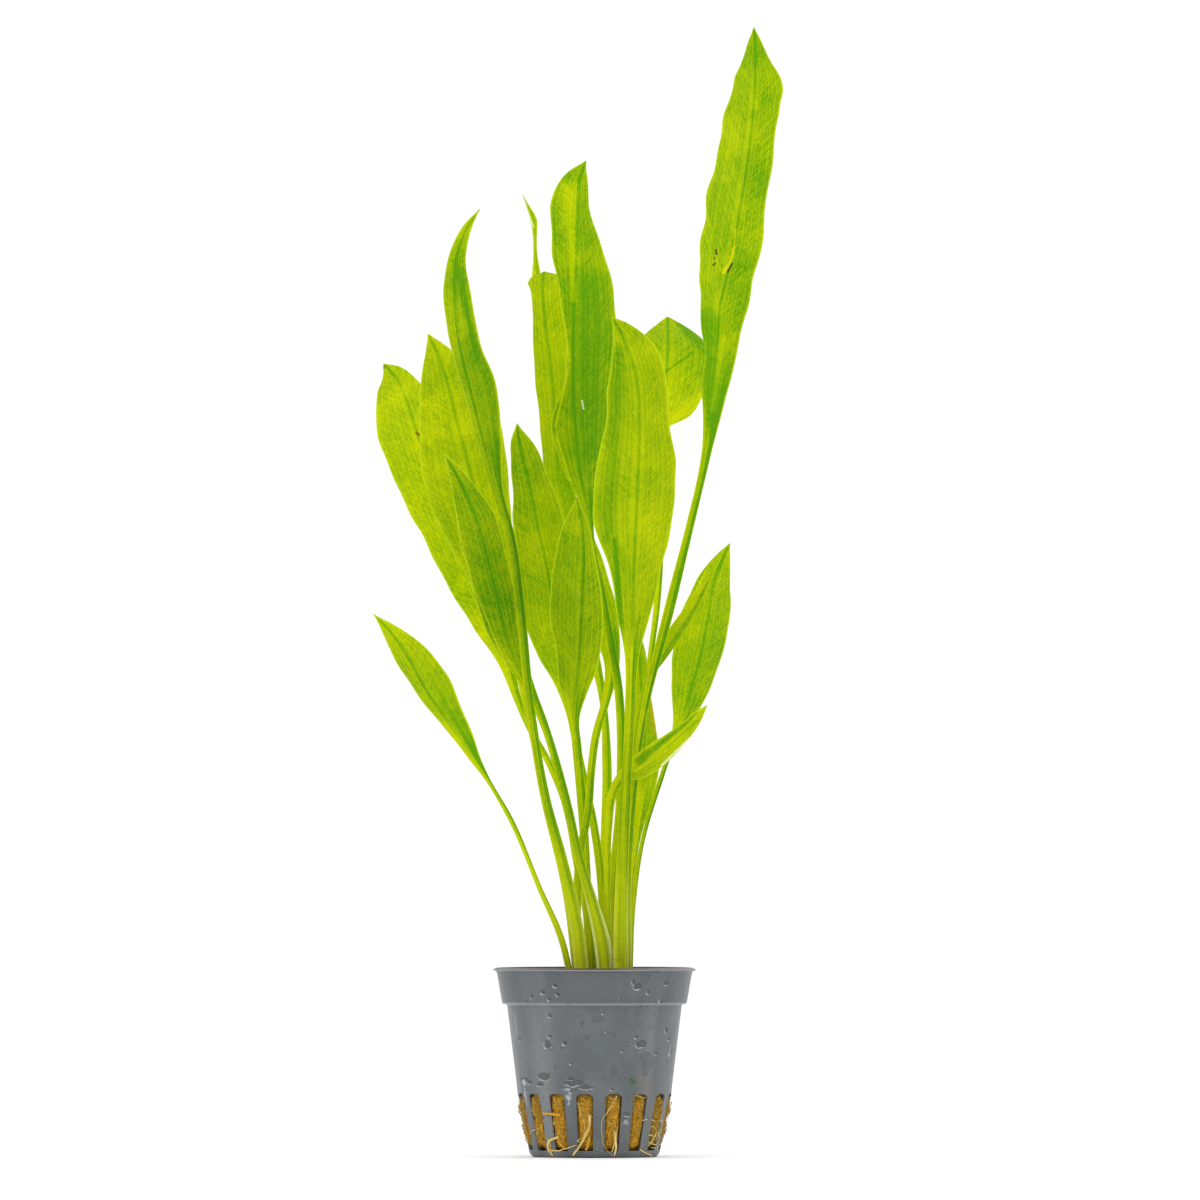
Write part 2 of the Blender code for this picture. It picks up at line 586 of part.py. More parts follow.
def spline(rows, count):
    """Rows of numbers read along a smooth curve through them, evenly by length."""
    rows = np.asarray(rows, float)
    steps = np.linalg.norm(np.diff(rows[:, :3], axis=0), axis=1)
    at = np.concatenate([[0.0], np.cumsum(steps)])
    slopes = np.gradient(rows, at, axis=0)
    want = np.linspace(0.0, at[-1], count)
    k = np.clip(np.searchsorted(at, want, side="right") - 1, 0, len(at) - 2)
    h = (at[k + 1] - at[k])[:, None]
    t = ((want - at[k])[:, None]) / h
    a = (1 + 2 * t) * (1 - t) ** 2
    b = t * (1 - t) ** 2
    c = t * t * (3 - 2 * t)
    d = t * t * (t - 1)
    return a * rows[k] + b * h * slopes[k] + c * rows[k + 1] + d * h * slopes[k + 1]


def leaf_rings(turn, stations):
    """Cross-sections of a leaf: eight points each, round on the petiole and a thin lens on the blade."""
    rows = spline(np.asarray(stations) * MM, RINGS + 1)
    middle = rows[:, :3]
    along = np.gradient(middle, axis=0)
    along /= np.linalg.norm(along, axis=1)[:, None]
    front = np.array([0.0, -1.0, 0.0])
    rings = []
    for i in range(RINGS):
        left, right = np.maximum(rows[i, 3:5], LEAST_HALF_WIDTH)
        bladeness = min(max((left + right - PETIOLE_WIDTH) / BLADE_RAMP, 0.0), 1.0)
        angle = math.radians(turn) * bladeness
        side = np.cross(along[i], front)
        side /= np.linalg.norm(side)
        face = np.cross(side, along[i])
        side, face = (
            side * math.cos(angle) + face * math.sin(angle),
            face * math.cos(angle) - side * math.sin(angle),
        )
        left, right = left / math.cos(angle), right / math.cos(angle)
        share = i / RINGS
        rib = (PETIOLE_THICKNESS * (1 - share) + MIDRIB_TIP * share) * (1 - RIB_THINNING * bladeness)
        flank = rib * FLANK_SHARE * (1 - bladeness) + BLADE_THICKNESS * bladeness
        ring = []
        for u, thickness in ((-1, 0), (-0.5, flank), (0, rib), (0.5, flank), (1, 0)):
            ring.append((u, thickness / 2))
        ring += [(0.5, -flank / 2), (0, -rib / 2), (-0.5, -flank / 2)]
        points = []
        for u, lift in ring:
            width = right if u > 0 else left
            back = CUP * bladeness * width * u * u
            points.append(middle[i] + side * (u * width) + face * (lift - back))
        rings.append(points)
    return rings, middle[0], middle[-1]


def build_leaf(name, turn, stations, parts):
    """One leaf, petiole and blade in one loft through its cross-sections."""
    rings, base, tip = leaf_rings(turn, stations)
    bm = bmesh.new()
    loops = [[bm.verts.new(p) for p in ring] for ring in rings]
    count = len(loops[0])
    for low, high in zip(loops, loops[1:]):
        for j in range(count):
            k = (j + 1) % count
            bm.faces.new((low[j], low[k], high[k], high[j]))
    foot, point = bm.verts.new(base), bm.verts.new(tip)
    for j in range(count):
        k = (j + 1) % count
        bm.faces.new((loops[0][k], loops[0][j], foot))
        bm.faces.new((loops[-1][j], loops[-1][k], point))
    bmesh.ops.recalc_face_normals(bm, faces=bm.faces)
    mesh = bpy.data.meshes.new(name)
    bm.to_mesh(mesh)
    bm.free()
    add_object(name, mesh, "leaf", parts)


def build_root(name, radius, route, parts):
    """A root as a tube along its route, tapered at its free end."""
    points = []
    for angle, out, z in route:
        turn = math.radians(angle)
        r = wall_radius(z * MM) - WALL / 2 + out * MM
        points.append((r * math.sin(turn), -r * math.cos(turn), z * MM))
    fine = spline(points, 2 * len(points))
    curve = bpy.data.curves.new(name, "CURVE")
    curve.dimensions = "3D"
    curve.bevel_depth = radius * MM
    curve.bevel_resolution = 2
    curve.use_fill_caps = True
    line = curve.splines.new("POLY")
    line.points.add(len(fine) - 1)
    for i, p in enumerate(fine):
        line.points[i].co = (*p, 1.0)
        line.points[i].radius = 1.0 - ROOT_TAPER * i / (len(fine) - 1)
    made = bpy.data.objects.new(name, curve)
    parts.objects.link(made)
    curve.materials.append(material(name, "root"))


def main():
    clear_scene()
    parts = collection(NAME)
    cutters = collection(NAME + "_cutters")
    build_pot(parts, cutters)
    build_plug(parts, cutters)
    build_crown(parts)
    for name, (turn, stations) in LEAVES.items():
        build_leaf(name, turn, stations, parts)
    for name, (radius, route) in ROOTS.items():
        build_root(name, radius, route, parts)


main()
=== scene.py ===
"""The looks of a potted amazon sword plant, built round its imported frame.

Seventeen fine leaves, the slotted net pot, its rockwool with loose fibres, the crown, the roots and the
weed stuck to the pot. Metres, +Z up, the plant's front faces -Y. Sizes written in millimetres are
turned to metres where the meshes are made.
"""

import logging
import math
import random
from dataclasses import dataclass, field
from enum import Enum
from typing import Iterable, Sequence, Union

import bmesh
import bpy
import numpy as np
from mathutils import Matrix, Vector, noise


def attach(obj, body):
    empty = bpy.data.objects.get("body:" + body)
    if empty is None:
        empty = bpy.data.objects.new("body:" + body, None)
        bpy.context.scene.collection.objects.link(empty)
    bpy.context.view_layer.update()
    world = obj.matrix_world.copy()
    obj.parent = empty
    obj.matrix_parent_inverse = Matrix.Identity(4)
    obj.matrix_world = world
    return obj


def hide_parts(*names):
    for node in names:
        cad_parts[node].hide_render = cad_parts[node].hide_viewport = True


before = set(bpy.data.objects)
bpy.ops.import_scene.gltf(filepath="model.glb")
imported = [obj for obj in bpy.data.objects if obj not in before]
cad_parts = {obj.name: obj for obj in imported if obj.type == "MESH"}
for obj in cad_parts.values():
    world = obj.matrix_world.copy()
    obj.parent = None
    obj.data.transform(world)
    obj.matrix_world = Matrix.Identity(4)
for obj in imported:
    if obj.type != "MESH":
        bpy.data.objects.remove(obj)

MM = 0.001
RIM, BAND_BASE, SLOT_HIGH = 51.5, 41.7, 17.3  # heights of the pot's rim, band and slot tops
BAND_FOOT, WALL_TOP, SLOT_LINE = 25.1, 23.8, 20.9  # its radius at the band, under it and at the slots
MERGE = 0.002  # points nearer than this, in millimetres, are one
log = logging.getLogger("amazon_sword")

Number = Union[float, int, "Value"]
Colour = tuple[float, float, float, float]
Row = tuple[float, ...]


def tint(red: int, green: int, blue: int) -> Colour:
    """A display colour of 0 to 255 a channel as a linear colour."""

    def linear(level: int) -> float:
        """One channel."""
        c = level / 255
        return c / 12.92 if c <= 0.04045 else ((c + 0.055) / 1.055) ** 2.4

    return (linear(red), linear(green), linear(blue), 1.0)


# --- Shader maths -------------------------------------------------------------------------------------------


class Value:
    """A shader socket that takes part in Python arithmetic: each operation adds a Math node."""

    def __init__(self, shader: "Shader", socket: bpy.types.NodeSocket) -> None:
        """Wrap one output socket of a shader's node."""
        self.shader, self.socket = shader, socket

    def math(self, operation: str, *others: Number) -> "Value":
        """A Math node with this value first."""
        return self.shader.math(operation, self, *others)

    def __add__(self, other: Number) -> "Value":
        """Sum."""
        return self.math("ADD", other)

    __radd__ = __add__

    def __mul__(self, other: Number) -> "Value":
        """Product."""
        return self.math("MULTIPLY", other)

    __rmul__ = __mul__

    def __sub__(self, other: Number) -> "Value":
        """Difference."""
        return self.math("SUBTRACT", other)

    def __rsub__(self, other: Number) -> "Value":
        """Difference, with this value second."""
        return self.shader.math("SUBTRACT", other, self)

    def __truediv__(self, other: Number) -> "Value":
        """Quotient."""
        return self.math("DIVIDE", other)

    def __neg__(self) -> "Value":
        """The value with its sign turned."""
        return self.shader.math("SUBTRACT", 0.0, self)

    def __abs__(self) -> "Value":
        """The value without its sign."""
        return self.math("ABSOLUTE")

    def __or__(self, other: Number) -> "Value":
        """The larger of two masks."""
        return self.math("MAXIMUM", other)

    def __and__(self, other: Number) -> "Value":
        """The smaller of two masks."""
        return self.math("MINIMUM", other)

    def step(self, low: float, high: float) -> "Value":
        """A smooth step from 0 at low to 1 at high; it falls when low is the larger."""
        flip = low > high
        inputs = {"Value": self, "From Min": min(low, high), "From Max": max(low, high)}
        inputs |= {"To Min": float(flip), "To Max": float(not flip)}
        return self.shader.value("ShaderNodeMapRange", {"interpolation_type": "SMOOTHSTEP"}, inputs)


class Shader:
    """A material and its nodes."""

    def __init__(self, name: str) -> None:
        """Start an empty node material."""
        self.material = bpy.data.materials.new(name)
        self.material.use_nodes = True
        self.tree = self.material.node_tree
        self.tree.nodes.clear()

    def node(self, kind: str, settings: dict | None = None, inputs: dict | None = None) -> bpy.types.Node:
        """Add a node.

        Args:
            kind: the node's type.
            settings: its own properties, set first.
            inputs: values or linked Values by socket name or number.

        Returns:
            The node.
        """
        made = self.tree.nodes.new(kind)
        for key, setting in (settings or {}).items():
            setattr(made, key, setting)
        for key, given in (inputs or {}).items():
            if isinstance(given, Value):
                self.tree.links.new(given.socket, made.inputs[key])
            else:
                made.inputs[key].default_value = given
        return made

    def value(
        self, kind: str, settings: dict | None = None, inputs: dict | None = None, output: int = 0
    ) -> Value:
        """Add a node and wrap one of its outputs."""
        return Value(self, self.node(kind, settings, inputs).outputs[output])

    def math(self, operation: str, *terms: Number) -> Value:
        """A Math node on two or three terms."""
        return self.value("ShaderNodeMath", {"operation": operation}, dict(enumerate(terms)))

    def mix(self, share: Number, low: Colour | Value, high: Colour | Value, mode: str = "MIX") -> Value:
        """Blend two colours: low where share is 0, high where it is 1."""
        settings = {"data_type": "RGBA", "blend_type": mode}
        return self.value("ShaderNodeMix", settings, {0: share, 6: low, 7: high}, 2)

    def split(self, vector: Value) -> tuple[Value, Value, Value]:
        """The three parts of a vector."""
        made = self.node("ShaderNodeSeparateXYZ", None, {0: vector})
        return tuple(Value(self, out) for out in made.outputs)

    def join(self, x: Number, y: Number, z: Number) -> Value:
        """A vector from three values."""
        return self.value("ShaderNodeCombineXYZ", None, {0: x, 1: y, 2: z})

    def attribute(self, name: str) -> tuple[Value, Value, Value]:
        """The three parts of a vector that the mesh carries at each point."""
        made = self.value("ShaderNodeAttribute", {"attribute_name": name}, None, 1)
        return self.split(made)

    def here(self) -> Value:
        """The place on the object, in millimetres."""
        place = self.value("ShaderNodeTexCoord", None, None, 3)
        return self.value("ShaderNodeVectorMath", {"operation": "SCALE"}, {0: place, "Scale": 1000.0})

    def noise(self, vector: Value, size: float, detail: float = 2.0, roughness: float = 0.5) -> Value:
        """Smooth noise from 0 to 1, with features of a size in the vector's own unit."""
        inputs = {"Vector": vector, "Scale": 1.0 / size, "Detail": detail, "Roughness": roughness}
        return self.value("ShaderNodeTexNoise", None, inputs)

    def cells(self, vector: Value, size: float) -> Value:
        """The distance to the middle of the nearest of many scattered cells, in cell sizes."""
        return self.value("ShaderNodeTexVoronoi", None, {"Vector": vector, "Scale": 1.0 / size})

    def bump(self, height: Value, depth: float) -> Value:
        """A bent normal from a height of 0 to 1 that stands for a depth in millimetres."""
        return self.value("ShaderNodeBump", None, {"Strength": 1.0, "Distance": depth * MM, "Height": height})

    def stroke(self, x: Value, z: Value, start: Row, end: Row) -> Value:
        """Distance from a straight stroke drawn on the front of the piece, in millimetres."""
        run, rise = end[0] - start[0], end[1] - start[1]
        dx, dz = x - start[0], z - start[1]
        share = (dx * run + dz * rise) / max(run * run + rise * rise, 1e-6)
        share = (share | 0.0) & 1.0
        off_x, off_z = dx - share * run, dz - share * rise
        return (off_x * off_x + off_z * off_z).math("SQRT")

    def arc(self, x: Value, y: Value) -> Value:
        """The angle round the upright axis, to the right of the front."""
        return self.math("ARCTAN2", x, -y)

    def glossy(self, skin: dict) -> bpy.types.Material:
        """Finish the material with one Principled surface."""
        return self.finish(self.value("ShaderNodeBsdfPrincipled", None, skin))

    def finish(self, shader: Value) -> bpy.types.Material:
        """Put a shader on the material's output."""
        self.node("ShaderNodeOutputMaterial", None, {"Surface": shader})
        return self.material


# --- Mesh helpers -------------------------------------------------------------------------------------------


def spline(rows: Sequence[Row] | np.ndarray, count: int) -> np.ndarray:
    """Rows of numbers read along a smooth curve through them, evenly by length.

    Args:
        rows: each row starts with x, y and z.
        count: how many rows to return.

    Returns:
        The rows, as an array.
    """
    rows = np.asarray(rows, float)
    steps = np.linalg.norm(np.diff(rows[:, :3], axis=0), axis=1)
    at = np.concatenate([[0.0], np.cumsum(steps)])
    slopes = np.gradient(rows, at, axis=0)
    want = np.linspace(0.0, at[-1], count)
    k = np.clip(np.searchsorted(at, want, side="right") - 1, 0, len(at) - 2)
    h = (at[k + 1] - at[k])[:, None]
    t = ((want - at[k])[:, None]) / h
    a = (1 + 2 * t) * (1 - t) ** 2
    b = t * (1 - t) ** 2
    c = t * t * (3 - 2 * t)
    d = t * t * (t - 1)
    return a * rows[k] + b * h * slopes[k] + c * rows[k + 1] + d * h * slopes[k + 1]


def unit(vectors: np.ndarray) -> np.ndarray:
    """Vectors brought to length one."""
    return vectors / np.maximum(np.linalg.norm(vectors, axis=-1, keepdims=True), 1e-12)


def loft(bm: bmesh.types.BMesh, rings: np.ndarray, layers: dict[str, np.ndarray] | None = None) -> None:
    """Wrap a grid through closed cross-sections, weld its seam and cap both ends.

    Args:
        bm: the mesh to add to.
        rings: metres, shaped (sections, points round, 3).
        layers: vectors the mesh carries at each point, by name, shaped as the rings.
    """
    count, around = rings.shape[:2]
    part = bmesh.new()
    carried = {name: part.verts.layers.float_vector.new(name) for name in layers or {}}
    bmesh.ops.create_grid(part, x_segments=around, y_segments=count - 1, size=1.0)
    seam: dict[int, dict[int, bmesh.types.BMVert]] = {0: {}, around: {}}
    for v in part.verts:
        j = round((v.co.x + 1) / 2 * around)
        i = round((v.co.y + 1) / 2 * (count - 1))
        if j in seam:
            seam[j][i] = v
        v.co = rings[i, j % around]
        for name, layer in carried.items():
            v[layer] = layers[name][i, j % around]
    bmesh.ops.weld_verts(part, targetmap={seam[around][i]: seam[0][i] for i in range(count)})
    bmesh.ops.holes_fill(part, edges=[e for e in part.edges if e.is_boundary], sides=0)
    bmesh.ops.recalc_face_normals(part, faces=part.faces)
    for face in part.faces:
        face.smooth = True
    carrier = bpy.data.meshes.new("carrier")
    part.to_mesh(carrier)
    part.free()
    for name in layers or {}:
        if name not in bm.verts.layers.float_vector:
            bm.verts.layers.float_vector.new(name)
    bm.from_mesh(carrier)
    bpy.data.meshes.remove(carrier)


def tube(
    bm: bmesh.types.BMesh,
    route: np.ndarray,
    radii: np.ndarray,
    around: int,
    key: float = 0.0,
    flat: float = 1.0,
) -> None:
    """Loft a tube along a route.

    Args:
        bm: the mesh to add to.
        route: centre points in metres, shaped (sections, 3).
        radii: one radius a section, in metres.
        around: points round each section.
        key: a number from 0 to 1 that the finish varies this tube by.
        flat: depth of the section as a share of its width.
    """
    along = unit(np.gradient(route, axis=0))
    guide = np.array([0.0, 0.0, 1.0]) if abs(along[:, 2]).mean() < 0.8 else np.array([0.0, 1.0, 0.0])
    side = unit(np.cross(along, guide))
    face = np.cross(side, along)
    turn = np.arange(around) * 2 * math.pi / around
    ring = side[:, None] * np.cos(turn)[None, :, None] + flat * face[:, None] * np.sin(turn)[None, :, None]
    rings = route[:, None] + ring * radii[:, None, None]
    data = np.zeros_like(rings)
    data[:, :, 0] = np.linspace(0, 1, len(route))[:, None]
    data[:, :, 1] = key
    loft(bm, rings, {"strand": data})


def lathe(profile: Sequence[Row], steps: int) -> bmesh.types.BMesh:
    """Spin a profile about the upright axis and weld its seam and poles.

    Args:
        profile: the radius and height of each point, in millimetres.
        steps: how many faces go round.

    Returns:
        The new mesh, in millimetres.
    """
    bm = bmesh.new()
    line = [bm.verts.new((0.0, -r, z)) for r, z in profile]
    edges = [bm.edges.new(pair) for pair in zip(line, line[1:])]
    turn = {"cent": (0, 0, 0), "axis": (0, 0, 1), "dvec": (0, 0, 0), "angle": 2 * math.pi}
    bmesh.ops.spin(bm, geom=line + edges, steps=steps, use_merge=True, **turn)
    bmesh.ops.remove_doubles(bm, verts=bm.verts, dist=MERGE)
    return bm


def to_metres(bm: bmesh.types.BMesh) -> None:
    """Scale a mesh from millimetres and point its faces outwards."""
    bmesh.ops.scale(bm, vec=(MM,) * 3, verts=bm.verts)
    bmesh.ops.recalc_face_normals(bm, faces=bm.faces)


def make_object(
    name: str, bm: bmesh.types.BMesh, material: bpy.types.Material, replaces: Iterable[str] = ()
) -> bpy.types.Object:
    """Turn a finished bmesh into a piece that rides on the root body.

    Args:
        name: the piece's name.
        bm: its mesh, which is freed.
        material: its finish.
        replaces: CAD nodes that the piece stands for.

    Returns:
        The piece.
    """
    mesh = bpy.data.meshes.new(name)
    bm.to_mesh(mesh)
    bm.free()
    made = bpy.data.objects.new(name, mesh)
    bpy.context.scene.collection.objects.link(made)
    mesh.materials.append(material)
    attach(made, "root")
    nodes = tuple(replaces)
    if nodes:
        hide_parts(*nodes)
    log.info("%s: %d faces", name, len(mesh.polygons))
    return made


# --- Finishes -----------------------------------------------------------------------------------------------


class Blemish(Enum):
    """What a mark on a leaf is: a blemish of the leaf itself, painted shade or a painted highlight."""

    SCAR = "a raised yellow scar with a brown edge"
    HOLE = "a dark, dried spot"
    RUST = "a rusty brown patch"
    # PALE_AND_LIT is a pale yellow streak: yellowing on some leaves, and painted light along a ridge, a
    # crease or a curled margin on others.
    PALE_AND_LIT = "a pale yellow streak"
    AMBER = "an orange-yellow patch"
    # PAINTED_GLINT is a painted highlight: a whitish glint of light on the leaf's surface.
    PAINTED_GLINT = "a whitish, shiny streak"
    # SHADE is painted shade, drawn where a fold, an overlapping leaf or a leaf behind shades the blade.
    SHADE = "a deep green shaded streak"


SOFT = (Blemish.PALE_AND_LIT, Blemish.SHADE, Blemish.AMBER)


@dataclass(frozen=True)
class Mark:
    """A stroke on a leaf, from one point of its front to another, in millimetres."""

    kind: Blemish
    start: Row
    end: Row
    width: float
    strength: float = 1.0


def strokes(kind: Blemish, *rows: Row) -> tuple[Mark, ...]:
    """Marks of one kind.

    Args:
        kind: what they are.
        rows: for each its start, its end, its width and, where it isn't 1, its strength.

    Returns:
        The marks, in order.
    """
    return tuple(Mark(kind, row[:2], row[2:4], *row[4:]) for row in rows)


@dataclass(frozen=True)
class LeafFinish:
    """Living leaf: thin, lit through, with a midrib, parallel side veins and slanting veinlets."""

    depth: float = 0.4  # 0 is yellow-green, 1 is deep green
    yellow: float = 0.3  # how much of the blade has yellowed patches
    specks: float = 0.3  # brown specks
    right_painted_shade: float = 0.0  # how much painted shade deepens the right half, and below the left
    left_painted_shade: float = 0.0
    tip_yellow: float = 0.0
    grain: float = 0.9  # how strong the fine mottling is
    sheath: float = 0.15  # how white the edges of the petiole's foot are
    marks: tuple[Mark, ...] = ()

    SUN = (0.640, 0.690, 0.001, 1.0)
    GREEN = (0.150, 0.430, 0.001, 1.0)

    def dress(self, name: str) -> bpy.types.Material:
        """Build the material.

        Args:
            name: the leaf's name.

        Returns:
            The material.
        """
        sh = Shader(name)
        across, along, blade = sh.attribute("leaf")
        reach, share, seed = sh.attribute("span")
        here = sh.here()
        x, _, z = sh.split(here)
        side = abs(across)
        off = side * reach  # millimetres from the midrib

        drift = sh.noise(here, 16.0, 2.0)
        patch = sh.noise(here, 6.5, 3.0, 0.6)
        grain = sh.noise(here, 0.62, 2.0, 0.7)
        flecks = sh.noise(here, 1.5, 2.0, 0.6)
        rise = along - off * 1.15
        veinlet = sh.noise(sh.join(rise / 0.62, off / 7.0, seed + across.step(-0.01, 0.01) * 7.0), 1.0, 1.0)
        veinlet = veinlet.step(0.50, 0.64) * blade * off.step(0.5, 2.0)
        stripe = sh.noise(sh.join(across * 2.6, along / 90.0, seed), 1.0, 2.0)
        groove = sh.noise(sh.join(across * 6.0, along / 60.0, seed + 5.0), 1.0, 1.0)

        rib = off.step(1.25, 0.2) * blade
        rib_line = (abs(off - 0.62)).step(0.34, 0.08) * blade
        lines = None
        bands = None
        for place in (0.27, 0.53, 0.79):
            gap = abs(side - place + (stripe - 0.5) * 0.03) * reach
            line, band = gap.step(0.34, 0.08), gap.step(1.6, 0.3)
            lines = line if lines is None else lines | line
            bands = band if bands is None else bands | band
        lines, bands = lines * blade, bands * blade

        petiole = 1.0 - blade
        margin = (off - reach).step(-0.50, -0.10) * blade
        # foot: the petiole's lower part, lightened as painted light where the crowded leaves shade it, and
        # made more solid.
        foot = along.step(62.0, 12.0)
        marked = {kind: None for kind in Blemish}
        for mark in self.marks:
            gap = sh.stroke(x, z, mark.start, mark.end) + (grain - 0.5) * mark.width * 0.7
            mask = gap.step(mark.width, 0.0 if mark.kind in SOFT else mark.width * 0.5)
            mask = mask * (0.6 + patch) * mark.strength if mark.kind in SOFT else mask
            old = marked[mark.kind]
            marked[mark.kind] = mask if old is None else old | mask
        depth = self.depth + (drift - 0.5) * 0.9 + (patch - 0.5) * 0.5
        # Painted shade: SHADE strokes pull the tone towards deep green where folds and overlapping leaves
        # shade the blade.
        if marked[Blemish.SHADE] is not None:
            depth = depth + (marked[Blemish.SHADE] & 1.0) * (0.82 - depth)
        depth = depth + (grain - 0.5) * self.grain + (flecks - 0.5) * 0.4
        depth = depth + rib * 0.42 - rib_line * 0.22 + bands * 0.20 - lines * 0.24
        depth = depth + veinlet * 0.18 - margin * 0.12
        # Painted shade and light on the petiole: its right facet darker and its left side lighter, as light
        # falls from the left; stripe and groove are its own lengthwise lines.
        painted_shade_facet = across.step(0.08, 0.30) * across.step(0.97, 0.80)
        stalk = (stripe - 0.5) * 1.2 + (groove - 0.5) * 1.1 + painted_shade_facet * 0.62 - across.step(-0.2, -0.8) * 0.16
        depth = depth + petiole * (stalk + 0.02)
        # Painted shade on one half of the blade, which turns away from the light.
        if self.right_painted_shade or self.left_painted_shade:
            depth = depth + across.step(-0.05, 0.25) * self.right_painted_shade
            depth = depth + across.step(0.05, -0.25) * self.left_painted_shade
        # Painted light: the petiole's rims are lightened where light catches them.
        edge = side.step(0.86, 0.97) * petiole
        # yellowing_and_painted_light mixes the blade's yellowed patches and yellow tip with painted light on
        # the petiole's rims and foot.
        yellowing_and_painted_light = patch.step(0.62 - 0.25 * self.yellow, 0.86 - 0.25 * self.yellow) * (0.5 * self.yellow + 0.05)
        yellowing_and_painted_light = yellowing_and_painted_light + edge * 0.60 + foot * 0.40 + share.step(0.86, 1.0) * self.tip_yellow

        # PALE_AND_LIT strokes: yellowing, and painted light along ridges, creases and curled margins.
        if marked[Blemish.PALE_AND_LIT] is not None:
            yellowing_and_painted_light = yellowing_and_painted_light + marked[Blemish.PALE_AND_LIT] * 0.42
        depth = ((depth - yellowing_and_painted_light * 0.8) | 0.0) & 1.0

        base = sh.mix(depth, tint(182, 198, 0), tint(60, 112, 0))
        base = sh.mix((yellowing_and_painted_light | 0.0) & 1.0, base, tint(206, 216, 0))
        base = sh.mix(margin * 0.7, base, tint(196, 222, 24))
        crown = along.step(15.0, 4.5)
        base = sh.mix(crown * (stripe.step(0.42, 0.60) * 0.5 + 0.2), base, tint(112, 96, 14))
        rings = sh.noise(sh.join(across * 0.4, along / 0.7, seed), 1.0, 2.0).step(0.60, 0.68)
        base = sh.mix(rings * along.step(26.0, 8.0) * 0.35, base, tint(120, 92, 20))
        sheath = along.step(36.0, 15.0) * side.step(0.50, 0.90) * self.sheath
        base = sh.mix(sheath, base, tint(222, 228, 170))

        dots = sh.cells(here, 0.95).step(0.22, 0.12) * patch.step(0.38, 0.60) * self.specks
        fine = grain.step(0.64, 0.76) * sh.noise(here, 3.2, 1.0).step(0.42, 0.62) * self.specks * 0.7
        dark = (dots | fine) * blade
        base = sh.mix(dark, base, tint(92, 72, 6))
        opaque = dark * 0.75 + crown * 0.25 + sheath * 0.6 + margin * 0.40 + foot * 0.30
        scar = marked[Blemish.SCAR]
        if scar is not None:
            base = sh.mix(scar, base, tint(232, 216, 0))
            opaque = opaque + scar * 0.2
        # RUST, HOLE and AMBER are the leaf's own colours; PAINTED_GLINT is a painted highlight.
        for kind, colour, cover in (
            (Blemish.RUST, tint(150, 78, 14), 0.75),
            (Blemish.HOLE, tint(66, 58, 8), 0.9),
            (Blemish.AMBER, tint(236, 204, 0), 0.4),
            (Blemish.PAINTED_GLINT, tint(236, 240, 190), 0.7),
        ):
            if marked[kind] is not None:
                base = sh.mix(marked[kind] * cover, base, colour)
                opaque = opaque + marked[kind] * cover

        height = lines * 0.45 - rib_line * 0.35 + rib * 0.35 - veinlet * 0.22 + grain * 0.25 + patch * 0.8
        if scar is not None:
            height = height + scar * 0.8
        normal = sh.bump(height, 0.22)
        gloss = {"Base Color": base, "Roughness": grain * 0.2 + 0.36, "Normal": normal}
        gloss |= {"Specular IOR Level": 0.16, "IOR": 1.42}
        lit = sh.value("ShaderNodeBsdfPrincipled", None, gloss)
        sun = sh.value("ShaderNodeBsdfTranslucent", None, {"Color": self.SUN, "Normal": normal})
        green = sh.value("ShaderNodeBsdfTranslucent", None, {"Color": self.GREEN, "Normal": normal})
        through = sh.value("ShaderNodeMixShader", None, {0: depth, 1: sun, 2: green})
        solid = ((0.34 + petiole * 0.06 + opaque) | 0.0) & 1.0
        skin = sh.value("ShaderNodeMixShader", None, {0: solid, 1: through, 2: lit})
        inside = sh.value("ShaderNodeNewGeometry", output=6)
        clear = sh.value("ShaderNodeBsdfTransparent")
        return sh.finish(sh.value("ShaderNodeMixShader", None, {0: inside, 1: skin, 2: clear}))


